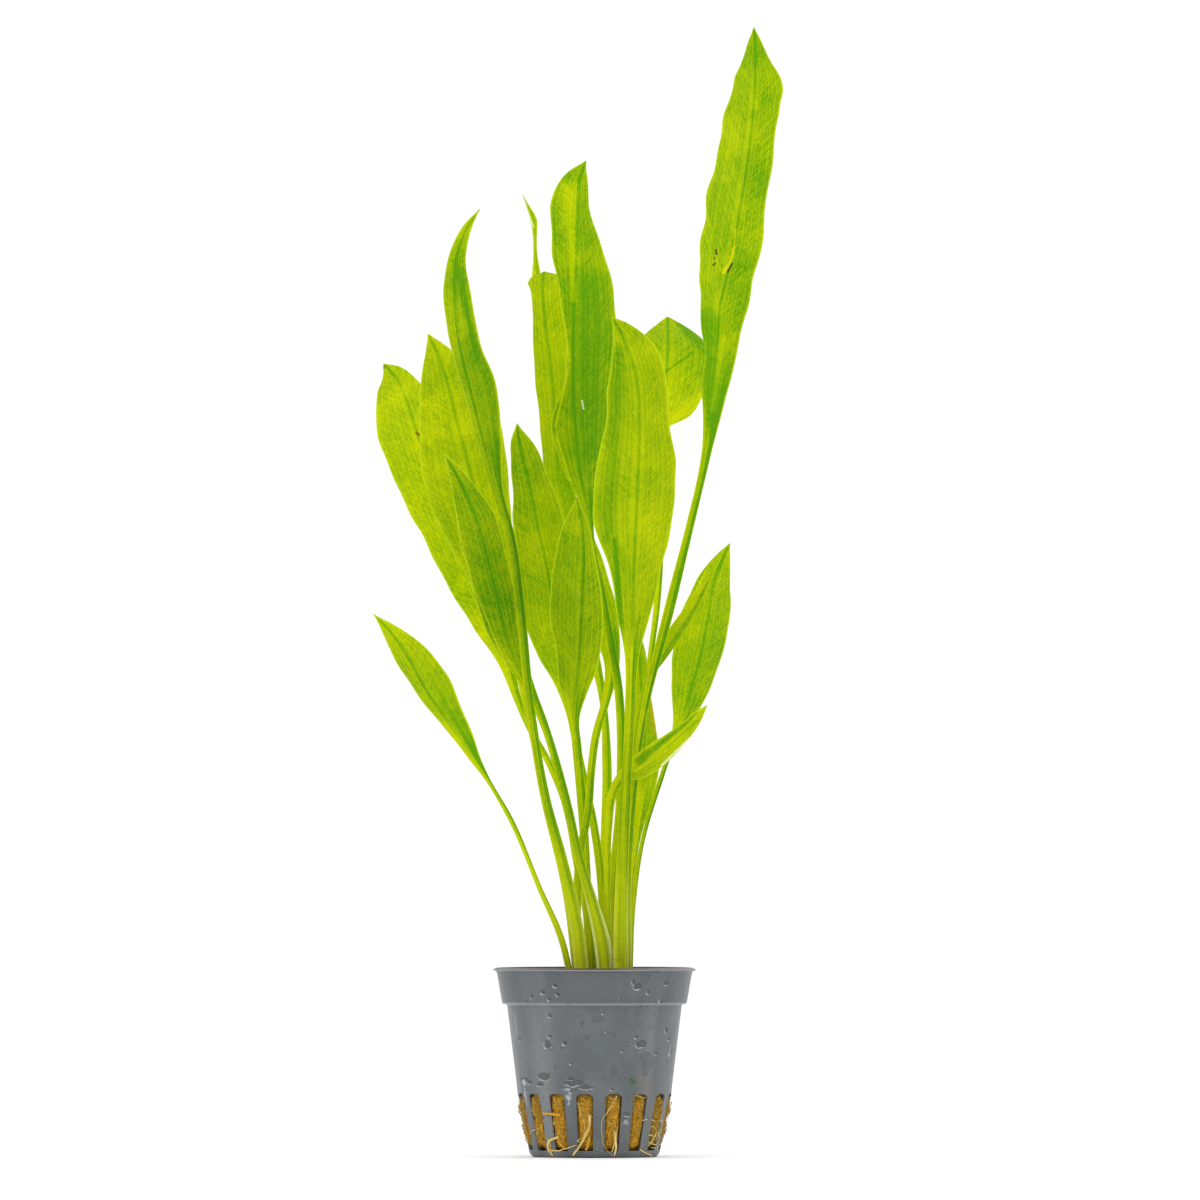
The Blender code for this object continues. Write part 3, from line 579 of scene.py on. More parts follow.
@dataclass(frozen=True)
class PotFinish:
    """Satin grey moulded plastic, wet in places, with painted sheen, highlights and reflections, scuffed, and
    darker brown inside and along the rim's top edge.
    """

    wet: tuple[Row, ...] = ()  # angle, height, half-width and half-height of each, as in the two below
    film_and_sheen: tuple[Row, ...] = ()
    drops: tuple[Row, ...] = ()

    def patches(self, arc: Value, z: Value, radius: Value, ragged: Value, places: tuple[Row, ...]) -> Value:
        """A mask of ragged ovals on the wall.

        Args:
            arc: angle to the right of the front.
            z: height.
            radius: distance from the upright axis.
            ragged: noise that breaks the outlines.
            places: angle, height, half-width and half-height of each oval.

        Returns:
            The mask.
        """
        found = None
        for angle, height, half_width, half_height in places:
            dx = (arc - math.radians(angle)) * radius / half_width
            dz = (z - height) / half_height
            mask = (dx * dx + dz * dz + (ragged - 0.5) * 4.0).step(1.05, 0.65)
            found = mask if found is None else found | mask
        return found

    def dress(self, name: str) -> bpy.types.Material:
        """Build the material.

        Args:
            name: the material's name.

        Returns:
            The material.
        """
        sh = Shader(name)
        here = sh.here()
        x, y, z = sh.split(here)
        radius = (x * x + y * y).math("SQRT")
        arc = sh.arc(x, y)
        cloud = sh.noise(here, 11.0, 3.0)
        grain = sh.noise(here, 0.35, 3.0, 0.7)
        flow = sh.noise(sh.join(arc * 2.6, z / 90.0, 3.0), 1.0, 1.0)
        ragged = sh.noise(here, 1.6, 3.0, 0.6)
        colour = sh.mix(cloud.step(0.3, 0.7), tint(86, 91, 93), tint(97, 102, 105))
        # Painted reflections: lighter upright bands on the left and the right of the wall, where lamps would
        # reflect.
        left = (abs(arc + 0.72)).step(0.26, 0.06) | ((abs(arc - 0.70)).step(0.16, 0.04) * 0.6)
        colour = sh.mix(left * 0.6, colour, tint(128, 132, 133))
        colour = sh.mix(flow.step(0.54, 0.68) * 0.35, colour, tint(124, 128, 128))
        colour = sh.mix(flow.step(0.46, 0.34) * 0.4, colour, tint(80, 85, 88))
        brown = sh.noise(here, 9.0, 2.0).step(0.52, 0.70) * arc.step(0.35, 0.8) * arc.step(1.5, 1.1)
        colour = sh.mix(brown * 0.35, colour, tint(122, 108, 100))
        colour = sh.mix(grain.step(0.52, 0.78) * 0.42, colour, tint(138, 142, 144))
        colour = sh.mix(grain.step(0.46, 0.26) * 0.35, colour, tint(66, 70, 72))
        colour = sh.mix(z.step(41.9, 42.3) * 0.35, colour, tint(66, 71, 74))
        specks = sh.cells(here, 2.6).step(0.055, 0.025) * ragged.step(0.5, 0.6)
        colour = sh.mix(specks * 0.7, colour, tint(198, 196, 188))
        # Painted highlight: the lip and the shoulder of the band lighter, where light catches their edges.
        lip = z.step(50.2, 50.6) * radius.step(27.3, 27.7)
        shoulder = (abs(z - 41.6)).step(0.55, 0.1) * radius.step(23.6, 24.1)
        colour = sh.mix((lip | shoulder) * 0.62, colour, tint(160, 163, 165))
        # Darker brown on the inner faces of the wall and the band, and along the top edge of the rim.
        wall = (WALL_TOP + (z - BAND_BASE) * 0.119) & (SLOT_LINE + (z - SLOT_HIGH) * 0.196)
        inner = (radius - wall).step(-0.35, -0.7) * z.step(2.4, 3.2) * z.step(42.2, 41.2)
        band_inner = (radius - BAND_FOOT - (z - BAND_BASE) * 0.143).step(-0.3, -0.6) * z.step(42.2, 43.0)
        edge = z.step(50.98, 51.12) * (ragged.step(0.30, 0.42) * 0.4 + 0.6)
        brown_inside_and_rim = (inner | band_inner | edge) * (cloud.step(0.30, 0.46) * 0.3 + 0.7)
        colour = sh.mix(brown_inside_and_rim * 0.92, colour, tint(58, 44, 26))
        seat = sh.cells(here, 3.4)
        wide = sh.noise(here, 8.0, 1.0)
        spots = seat.step(0.20, 0.13) * wide.step(0.50, 0.58)
        ring = seat.step(0.24, 0.18) * seat.step(0.11, 0.16) * wide.step(0.50, 0.58)
        colour = sh.mix(ring * 0.45, colour, tint(60, 64, 64))
        # Painted glint: a light middle in some of the spots, as on a water drop.
        colour = sh.mix(seat.step(0.10, 0.04) * wide.step(0.52, 0.60) * 0.5, colour, tint(170, 174, 176))
        wet = self.patches(arc, z, radius, ragged, self.wet)
        film_and_sheen = self.patches(arc, z, radius, ragged, self.film_and_sheen)
        colour = sh.mix(wet * 0.72, colour, tint(66, 72, 70))
        drops = self.patches(arc, z, radius, ragged, self.drops)
        # Painted highlight: a pale crescent under each drop mark.
        highlight_below_drops = self.patches(arc + 0.008, z + 0.22, radius, ragged, self.drops)
        colour = sh.mix(drops * 0.75, colour, tint(62, 67, 66))
        colour = sh.mix(((highlight_below_drops - drops) | 0.0) * 0.75, colour, tint(186, 190, 191))
        # Painted sheen: the film patches lighter and mottled, as wet plastic looks where it reflects the
        # white surroundings; their gloss and coat are real.
        colour = sh.mix(film_and_sheen * grain.step(0.36, 0.6) * 0.8, colour, tint(186, 191, 194))
        damp = z.step(24.0, 17.0) * ragged.step(0.54, 0.66)
        colour = sh.mix(damp * 0.35, colour, tint(84, 89, 92))
        scuff = sh.noise(sh.join(x * 1.0, y * 1.0, z * 7.0), 5.0, 4.0, 0.7).step(0.66, 0.74)
        colour = sh.mix(scuff * 0.25, colour, tint(139, 142, 143))
        rough = 0.44 + (cloud - 0.5) * 0.14 + scuff * 0.12 - wet * 0.34
        rough = rough - film_and_sheen * 0.30 - damp * 0.22 - spots * 0.3
        height = grain * 0.5 + cloud * 0.7 + ragged * 0.25 - scuff * 0.25
        height = height + wet * 0.9 + film_and_sheen * 1.2 + spots * 2.0 + drops * 3.0
        skin = {"Base Color": colour, "Roughness": (rough | 0.07) & 0.7, "Normal": sh.bump(height, 0.07)}
        skin |= {"Specular IOR Level": 0.42, "Coat Weight": (wet | film_and_sheen) * 0.5, "Coat Roughness": 0.06}
        return sh.glossy(skin)


@dataclass(frozen=True)
class WoolFinish:
    """Ochre mineral wool, damp and fibrous, darker and greener where algae grow, darker towards the sides and
    the top, and with painted shade in the gaps between its tufts.
    """

    loose: bool = False  # the single fibres, which are paler

    def dress(self, name: str) -> bpy.types.Material:
        """Build the material.

        Args:
            name: the material's name.

        Returns:
            The material.
        """
        sh = Shader(name)
        here = sh.here()
        x, y, z = sh.split(here)
        strand = sh.noise(sh.join(x * 0.9, y * 0.9, z * 0.22), 0.5, 3.0, 0.65)
        swirl = sh.noise(sh.join(x * 0.35, y * 0.35, z * 1.0), 0.62, 3.0, 0.7)
        cloud = sh.noise(here, 4.2, 3.0, 0.6)
        slow = sh.noise(here, 12.0, 1.0)
        colour = sh.mix(strand.step(0.30, 0.66), tint(112, 66, 0), tint(226, 162, 6))
        colour = sh.mix(swirl.step(0.50, 0.68) * 0.7, colour, tint(246, 194, 40))
        colour = sh.mix(cloud.step(0.54, 0.76) * 0.6, colour, tint(112, 78, 10))
        colour = sh.mix(z.step(9.0, 17.5) * 0.4 + (slow.step(0.5, 0.7) * 0.2), colour, tint(128, 104, 30))
        arc = sh.arc(x, y)
        colour = sh.mix(abs(arc).step(0.62, 1.05) * 0.5, colour, tint(104, 86, 36))
        # Painted shade: the gaps between the tufts very dark.
        colour = sh.mix(cloud.step(0.34, 0.22) * 0.5, colour, tint(62, 42, 4))
        # Darker brown towards the top.
        colour = sh.mix(z.step(30.0, 46.0) * 0.8, colour, tint(56, 44, 26))
        if self.loose:
            colour = sh.mix(0.55, colour, tint(246, 204, 84))
        height = strand * 0.9 + swirl * 0.8 + cloud * 0.5
        skin = {"Base Color": colour, "Roughness": 0.72 + strand * 0.2, "Normal": sh.bump(height, 0.5)}
        skin |= {"Specular IOR Level": 0.35}
        return sh.glossy(skin)


@dataclass(frozen=True)
class RootFinish:
    """Pale straw roots, from cream to orange, with red-brown growing tips."""

    def dress(self, name: str) -> bpy.types.Material:
        """Build the material.

        Args:
            name: the material's name.

        Returns:
            The material.
        """
        sh = Shader(name)
        share, key, _ = sh.attribute("strand")
        here = sh.here()
        cloud = sh.noise(here, 2.2, 2.0)
        grain = sh.noise(here, 0.3, 2.0)
        colour = sh.mix(key.step(0.15, 0.85), tint(240, 218, 140), tint(226, 168, 0))
        colour = sh.mix(cloud.step(0.45, 0.70) * 0.5, colour, tint(206, 164, 60))
        colour = sh.mix(grain.step(0.55, 0.8) * 0.4, colour, tint(250, 240, 196))
        colour = sh.mix(share.step(0.90, 0.99) * key.step(0.8, 0.95), colour, tint(112, 26, 8))
        skin = {"Base Color": colour, "Roughness": 0.34 + grain * 0.2}
        skin |= {"Normal": sh.bump(grain + cloud * 0.6, 0.08), "Specular IOR Level": 0.25}
        lit = sh.value("ShaderNodeBsdfPrincipled", None, skin)
        glow = sh.value("ShaderNodeBsdfTranslucent", None, {"Color": (0.90, 0.72, 0.14, 1.0)})
        return sh.finish(sh.value("ShaderNodeMixShader", None, {0: 0.75, 1: glow, 2: lit}))


@dataclass(frozen=True)
class CrownFinish:
    """The olive-brown crown at the foot of the leaves."""

    def dress(self, name: str) -> bpy.types.Material:
        """Build the material.

        Args:
            name: the material's name.

        Returns:
            The material.
        """
        sh = Shader(name)
        here = sh.here()
        x, y, z = sh.split(here)
        cloud = sh.noise(here, 3.0, 3.0)
        fibre = sh.noise(sh.join(x, y, z * 0.2), 0.6, 3.0, 0.6)
        colour = sh.mix(fibre.step(0.35, 0.68), tint(84, 66, 22), tint(150, 138, 52))
        colour = sh.mix(cloud.step(0.50, 0.72) * 0.7, colour, tint(58, 44, 24))
        skin = {"Base Color": colour, "Roughness": 0.5 + fibre * 0.25, "Normal": sh.bump(fibre + cloud, 0.4)}
        return sh.glossy(skin)


@dataclass(frozen=True)
class WeedFinish:
    """Dark green duckweed."""

    def dress(self, name: str) -> bpy.types.Material:
        """Build the material."""
        sh = Shader(name)
        cloud = sh.noise(sh.here(), 0.5, 2.0)
        colour = sh.mix(cloud.step(0.35, 0.65), tint(26, 62, 12), tint(74, 118, 34))
        skin = {"Base Color": colour, "Roughness": 0.35, "Normal": sh.bump(cloud, 0.1)}
        return sh.glossy(skin)


@dataclass(frozen=True)
class FloorFinish:
    """Plain white paper."""

    def dress(self, name: str) -> bpy.types.Material:
        """Build the material."""
        sh = Shader(name)
        cloud = sh.noise(sh.here(), 400.0, 2.0)
        colour = sh.mix(cloud, (0.93, 0.93, 0.93, 1.0), (0.95, 0.95, 0.95, 1.0))
        skin = {"Base Color": colour, "Roughness": 0.9, "Specular IOR Level": 0.1}
        return sh.glossy(skin)


# --- Pieces -------------------------------------------------------------------------------------------------


@dataclass
class Leaf:
    """One leaf, petiole and blade, as a fine loft along its stations."""

    node: str
    turn: float  # degrees that the blade turns about its midrib
    rows: Sequence[Row]  # millimetres: the midrib's x, y and z, then half-widths left and right, or one
    finish: LeafFinish = LeafFinish()
    lean: tuple[float, float] = (0.10, 0.10)  # how far each half stands back, as a share of its width
    wave: float = 0.45  # millimetres that the margins wave in and out
    wave_length: float = 21.0
    ripple: tuple[float, float] = (0.012, 0.012)  # share by which the outline of each side comes and goes
    seed: int = 0
    FRONT = 23  # points across the front of a section
    PETIOLE = 2.0  # thickness at the foot, at the end of the rib and of the blade beside it
    RIB_TIP = 0.5
    BLADE = 0.30
    STALK_WIDTH = 3.6  # a section this wide is still stalk, and one wider by BLADE_GROWTH is all blade
    BLADE_GROWTH = 6.0
    STATION = 1.5  # length from section to section
    FEWEST = 70  # sections of the shortest leaf
    THINNEST = 0.12  # half-width at the tip
    CREASE = math.radians(70)  # edges sharper than this stay sharp

    def sections(self) -> tuple[np.ndarray, dict[str, np.ndarray]]:
        """The cross-sections.

        Returns:
            The rings in millimetres, and the vectors carried at each point.
        """
        rows = np.array([row if len(row) == 5 else (*row, row[3]) for row in self.rows], float)
        length = np.linalg.norm(np.diff(rows[:, :3], axis=0), axis=1).sum()
        count = max(self.FEWEST, int(length / self.STATION))
        fine = spline(rows, count)
        middle = fine[:, :3]
        along = unit(np.gradient(middle, axis=0))
        run = np.concatenate([[0.0], np.cumsum(np.linalg.norm(np.diff(middle, axis=0), axis=1))])
        left, right = np.maximum(fine[:, 3:5], self.THINNEST).T
        broad = np.clip((left + right - self.STALK_WIDTH) / self.BLADE_GROWTH, 0, 1)
        peak = int(np.argmax(left + right))
        tip_side = np.arange(count) > peak
        held = np.clip((run - run[peak]) / 4.0, 0, 1) * broad[peak]
        blade = np.where(tip_side, np.maximum(broad, held), broad)
        angle = np.radians(self.turn) * broad
        side = unit(np.cross(along, np.array([0.0, -1.0, 0.0])))
        face = np.cross(side, along)
        cos, sin = np.cos(angle)[:, None], np.sin(angle)[:, None]
        side, face = side * cos + face * sin, face * cos - side * sin
        left, right = left / cos[:, 0], right / cos[:, 0]
        share = run / run[-1]
        rib = (self.PETIOLE * (1 - share) + self.RIB_TIP * share) * (1 - 0.35 * blade)
        small = np.minimum(1.0, (left + right) / 1.6)
        rib = rib * small

        s = np.linspace(-1, 1, self.FRONT)
        front = s * (0.50 + 0.50 * s * s)
        back = front[-2:0:-1]
        u = np.concatenate([front, back])
        is_front = np.concatenate([np.ones(len(front)), -np.ones(len(back))])
        reach = np.where(u[None, :] > 0, right[:, None], left[:, None])
        off = np.abs(u)[None, :] * reach
        a = np.abs(u)[None, :]
        b = blade[:, None]
        round_back = np.sqrt(np.maximum(1 - a * a, 0))
        ridge = np.maximum(1 - a**1.35, 0) ** 0.8
        stalk = rib[:, None] / 2 * np.where(is_front > 0, ridge, round_back)
        thin = self.BLADE / 2 * small[:, None] * np.maximum(1 - a**6, 0) ** 0.5
        keel = (rib[:, None] / 2 - thin) * np.exp(-((off / 0.85) ** 2))
        sheet = thin + np.where(is_front > 0, 0.25, 1.0) * np.maximum(keel, 0)
        lift = (stalk * (1 - b) + sheet * b) * is_front

        phase = self.seed * 1.7
        lean = np.where(u[None, :] > 0, self.lean[1], self.lean[0])
        bow = 0.10 * reach * a * a + lean * off
        swing = np.sin(2 * math.pi * run / self.wave_length + phase)[:, None]
        swing2 = np.sin(2 * math.pi * run / (self.wave_length * 0.61) + phase * 2.3 + 1.0)[:, None]
        flutter = np.where(u[None, :] > 0, swing, swing2) * self.wave * a**2.5
        ripple = np.where(u[None, :] > 0, self.ripple[1] * swing2, self.ripple[0] * swing)
        width = u[None, :] * reach * (1 + ripple * a**3 * b)
        depth = lift - (bow - flutter) * b
        rings = middle[:, None] + side[:, None] * width[..., None] + face[:, None] * depth[..., None]

        def carry(*parts: np.ndarray | float) -> np.ndarray:
            """Three values at each point of the rings."""
            return np.stack([np.broadcast_to(part, rings.shape[:2]) for part in parts], axis=-1)

        leaf = carry(u, run[:, None], b)
        span = carry(reach, share[:, None], float(self.seed))
        return rings, {"leaf": leaf, "span": span}

    def build(self) -> bpy.types.Object:
        """Make the leaf and dress it."""
        rings, carried = self.sections()
        bm = bmesh.new()
        loft(bm, rings * MM, carried)
        finish = self.finish.dress("finish_" + self.node)
        made = make_object("fine_" + self.node, bm, finish, [self.node])
        made.data.set_sharp_from_angle(angle=self.CREASE)
        return made


@dataclass
class NetPot:
    """The slotted net pot. Sizes in millimetres."""

    rim: float = RIM
    lip: float = 27.7
    band_top: float = 26.5
    band_foot: float = BAND_FOOT
    band_base: float = BAND_BASE
    wall_top: float = WALL_TOP
    slot_line: float = SLOT_LINE
    base: float = 16.2
    corner: float = 2.0
    wall: float = 0.9
    floor: float = 1.2
    slots: int = 16
    slot_low: float = 1.9
    slot_high: float = SLOT_HIGH
    slot_share: float = 0.56
    rib_turn: float = math.radians(3.7)
    columns: int = 12  # faces round one slot and one rib
    slot_columns: int = 7
    drain: tuple[float, float] = (6.5, 14.0)  # inner and outer radius of the drain slots in the floor
    drain_pitch: int = 24  # columns from drain to drain
    drain_columns: tuple[int, int] = (9, 10)
    LOW = (4.0, 7.0, 10.0, 12.5, 14.5, 16.0)  # heights of the profile's points beside the slots
    HIGH = (18.6, 21.0, 25.0, 29.0, 33.0, 37.0)  # and on the wall above them
    BAND = (44.0, 46.5, 48.8)  # and on the rim band
    finish: PotFinish = field(default_factory=PotFinish)

    def radius(self, z: float) -> float:
        """Outer radius of the tapered wall at a height."""
        if z >= self.slot_line - 3.6:
            t = (z - self.slot_high) / (self.band_base - self.slot_high)
            return self.slot_line + t * (self.wall_top - self.slot_line)
        t = (z - self.corner) / (self.slot_high - self.corner)
        foot = self.base + 1.7
        return foot + (self.slot_line - foot) * max(t, 0.0)

    def on_wall(self, angle: float, z: float, out: float = 0.0) -> Vector:
        """A point at an angle in degrees to the right of the front, in millimetres."""
        turn, r = math.radians(angle), self.radius(z) + out
        return Vector((r * math.sin(turn), -r * math.cos(turn), z))

    def band_radius(self, z: float) -> float:
        """Outer radius of the rim band at a height."""
        return self.band_foot + (z - self.band_base) / (self.rim - 1.5 - self.band_base) * (
            self.band_top - self.band_foot
        )

    def profile(self) -> list[Row]:
        """The outer side from the middle of the base up to the lip, then the inner side down to the floor."""
        near, far = self.drain
        outer = [(0.0, 0.0), (near, 0.0), (far, 0.0), (self.base, 0.0), (self.base + 0.7, 0.2)]
        outer += [(self.base + 1.2, 0.7), (self.base + 1.6, 1.4), (self.radius(2.0) - 0.02, self.slot_low)]
        outer += [(self.radius(z), z) for z in (*self.LOW, self.slot_high, *self.HIGH, 40.3)]
        outer += [(self.wall_top - 0.1, self.band_base - 0.7), (self.wall_top + 0.15, self.band_base - 0.25)]
        outer += [(self.band_foot - 0.25, self.band_base - 0.12), (self.band_foot, self.band_base + 0.12)]
        outer += [(self.band_radius(z), z) for z in self.BAND]
        outer += [(self.band_top + 0.02, 49.9), (self.band_top + 0.2, 50.35), (self.band_top + 0.65, 50.62)]
        outer += [(self.lip - 0.1, 50.74), (self.lip, 50.88), (self.lip - 0.12, 51.02)]
        outer += [(self.band_top + 0.6, 51.2), (self.band_top + 0.05, 51.42)]
        inner = [(self.band_top - 0.6, self.rim), (self.band_top - 0.95, 51.0)]
        inner += [(self.band_radius(z) - self.wall, z) for z in self.BAND[::-1]]
        inner += [(self.band_foot - self.wall, self.band_base + 0.6)]
        inner += [(self.wall_top - self.wall, self.band_base)]
        heights = (*self.HIGH[::-1], self.slot_high, *self.LOW[::-1], self.slot_low)
        inner += [(self.radius(z) - self.wall, z) for z in heights]
        inner += [(self.base - 0.2, self.floor), (far, self.floor), (near, self.floor), (0.0, self.floor)]
        return inner[::-1] + outer[::-1]

    def in_slot(self, column: int) -> bool:
        """Whether a column of faces is in a slot."""
        return column % self.columns < self.slot_columns

    def spread(self, step: int) -> float:
        """The angle of a column's edge, with the slots and ribs at their own widths."""
        slot, c = divmod(step, self.columns)
        if c <= self.slot_columns:
            part = c / self.slot_columns * self.slot_share
        else:
            rest = (c - self.slot_columns) / (self.columns - self.slot_columns)
            part = self.slot_share + rest * (1 - self.slot_share)
        return self.rib_turn + 2 * math.pi / self.slots * (slot + (1 - self.slot_share) / 2 + part)

    def build(self) -> bpy.types.Object:
        """Spin the profile, open the slots and the drains, and dress the pot."""
        steps = self.slots * self.columns
        bm = lathe(self.profile(), steps)

        def step_of(point: Vector) -> float:
            """Which column a point is in, by its angle."""
            return (math.atan2(point.x, -point.y) / (2 * math.pi) * steps) % steps

        gone = []
        for f in bm.faces:
            middle = f.calc_center_median()
            column, r = int(step_of(middle)), math.hypot(middle.x, middle.y)
            side_hole = self.slot_low < middle.z < self.slot_high and r > self.base
            in_drain = self.drain[0] < r < self.drain[1] and column % self.drain_pitch in self.drain_columns
            if (side_hole and self.in_slot(column)) or (in_drain and middle.z < self.floor + 0.1):
                gone.append(f)
        columns = {v: round(step_of(v.co)) % steps for v in bm.verts}
        bmesh.ops.delete(bm, geom=gone, context="FACES")
        rims = [e for e in bm.edges if e.is_boundary]
        windows: dict[tuple[str, int], list[bmesh.types.BMEdge]] = {}
        for e in rims:
            middle = (e.verts[0].co + e.verts[1].co) / 2
            low = math.hypot(middle.x, middle.y) < self.drain[1] + 0.1
            size = self.drain_pitch if low else self.columns
            offset = self.drain_columns[1] if low else self.slot_columns / 2
            number = round((step_of(middle) - offset) / size) % (steps // size)
            windows.setdefault(("drain" if low else "slot", number), []).append(e)
        for loops in windows.values():
            bmesh.ops.bridge_loops(bm, edges=loops)
        shaper = random.Random(5)
        flash = [shaper.uniform(-0.16, 0.10) for _ in range(steps)]
        for v, column in columns.items():
            if not v.is_valid:
                continue
            r = math.hypot(v.co.x, v.co.y)
            turn = self.spread(column)
            local = column % self.columns
            z = v.co.z
            if abs(z - self.slot_high) < 0.01 and local <= self.slot_columns:
                t = abs(local - self.slot_columns / 2) / (self.slot_columns / 2)
                z -= 0.75 * max(0.0, (t - 0.45) / 0.55) ** 1.6
                z += flash[column] * (1.0 if t < 0.95 else 0.4)
            v.co = Vector((r * math.sin(turn), -r * math.cos(turn), z))
        to_metres(bm)
        made = make_object("fine_net_pot", bm, self.finish.dress("finish_net_pot"), ["net_pot"])
        soften = made.modifiers.new("soft edges", "BEVEL")
        soften.width, soften.segments, soften.limit_method = 0.16 * MM, 2, "ANGLE"
        soften.angle_limit = math.radians(40)
        made.data.shade_smooth()
        made.data.set_sharp_from_angle(angle=math.radians(38))
        return made


@dataclass
class Rockwool:
    """The mineral wool plug, which swells into the slots, and its loose fibres. Sizes in millimetres."""

    pot: NetPot
    well: tuple[float, float] = (2.0, -0.5)  # where the crown's well is, across and deep
    steps: int = 224
    fibres: int = 1500
    BENDS = 6  # points along one fibre, and the length between them
    STRIDE = 0.42
    NUDGE = 1e-7  # metres, which keep fibres of different slots from sharing points
    TOP = (  # radius and height, over the top and down into the well
        (23.6, 46.4), (22.6, 47.3), (20.0, 47.9), (17.0, 48.0), (14.5, 47.8), (12.6, 47.0), (11.6, 45.5),
        (11.2, 42.0), (10.6, 39.5), (6.0, 38.4), (0.0, 38.2),
    )

    def side(self, z: float) -> float:
        """Radius of the plain side at a height."""
        return self.pot.radius(z) - self.pot.wall - 0.4

    def swell(self, turn: float, z: float) -> float:
        """How far the wool stands out past its plain side at an angle and a height."""
        pitch = 2 * math.pi / self.pot.slots
        local = ((turn - self.pot.rib_turn) / pitch) % 1.0
        half = self.pot.slot_share / 2
        across = max(0.0, 1 - (abs(local - 0.5) / (half * 0.92)) ** 4)
        up = max(0.0, 1 - (abs(z - 9.6) / 7.3) ** 6)
        lump = noise.noise(Vector((math.sin(turn) * 7, math.cos(turn) * 7, z * 0.33)) * 1.1)
        beside = min(max((abs(math.sin(turn)) - 0.72) / 0.2, 0.0), 1.0)
        return across * up * (1.15 + 0.55 * lump + 0.5 * beside)

    def build(self) -> bpy.types.Object:
        """Spin the plug, then press lumps into it."""
        pot = self.pot
        heights = [3.4 + 0.62 * i for i in range(56)]
        cx, cy = self.well
        side = [(self.side(z), z) for z in heights]
        profile = [(0.0, pot.floor + 0.3), (pot.base - 1.6, pot.floor + 0.35), (pot.base - 0.3, 2.3)] + side
        profile += [(pot.wall_top - pot.wall - 0.5, 40.6), (pot.band_foot - pot.wall - 0.7, 43.8)]
        profile += self.TOP
        bm = lathe(profile, self.steps)
        for v in bm.verts:
            x, y, z = v.co
            r = math.hypot(x, y)
            if r < 1e-6:
                continue
            turn = math.atan2(x, -y)
            rough = noise.fractal(Vector((x, y, z)) * 0.55, 0.8, 2.0, 4)
            if z < 38.0 and r > 16:
                r += self.swell(turn, z) + 0.12 * rough - 0.06
            elif z > 44.0:
                z += 0.7 * rough - 0.5
            if z > 38.0 and r < 13.5:
                x, y = x + cx * (1 - r / 14), y + cy * (1 - r / 14)
                v.co = Vector((x, y, z))
                continue
            v.co = Vector((r * math.sin(turn), -r * math.cos(turn), z))
        to_metres(bm)
        finish = WoolFinish().dress("finish_rockwool")
        made = make_object("fine_rockwool", bm, finish, ["rockwool_plug"])
        made.data.shade_smooth()
        return made

    def build_fibres(self) -> bpy.types.Object:
        """Curly loose fibres that lie on the wool inside the slots."""
        rng = random.Random(11)
        pot, pitch = self.pot, 360 / self.pot.slots
        bm = bmesh.new()
        for _ in range(self.fibres):
            slot = rng.randrange(pot.slots)
            if pot.slots * 0.28 < slot < pot.slots * 0.72 and rng.random() < 0.45:
                slot = rng.choice((0, 1, 2, 13, 14, 15))
            reach = pitch * pot.slot_share * 0.40
            middle = math.degrees(pot.rib_turn) + (slot + 0.5) * pitch
            angle = middle + rng.uniform(-reach, reach)
            z = rng.uniform(3.0, 16.6)
            heading = rng.gauss(math.pi / 2, 0.8)
            points, out = [], rng.uniform(0.0, 0.25)
            for _ in range(self.BENDS):
                heading += rng.gauss(0, 0.45)
                angle += math.cos(heading) * self.STRIDE * 2.9
                z += math.sin(heading) * self.STRIDE
                angle = min(max(angle, middle - reach), middle + reach)
                z = min(max(z, 2.6), 16.9)
                out += rng.uniform(-0.05, 0.12)
                turn = math.radians(angle)
                r = self.side(z) + self.swell(turn, z) + out
                points.append((r * math.sin(turn), -r * math.cos(turn), z))
            route = np.array(points) * MM
            radii = np.full(self.BENDS, rng.uniform(0.04, 0.10) * MM)
            radii[0] = radii[-1] = 0.02 * MM
            nudge = np.random.RandomState(slot).rand(3) * self.NUDGE
            tube(bm, route + nudge, radii, 3, rng.random())
        return make_object("rockwool_fibres", bm, WoolFinish(loose=True).dress("finish_fibres"))


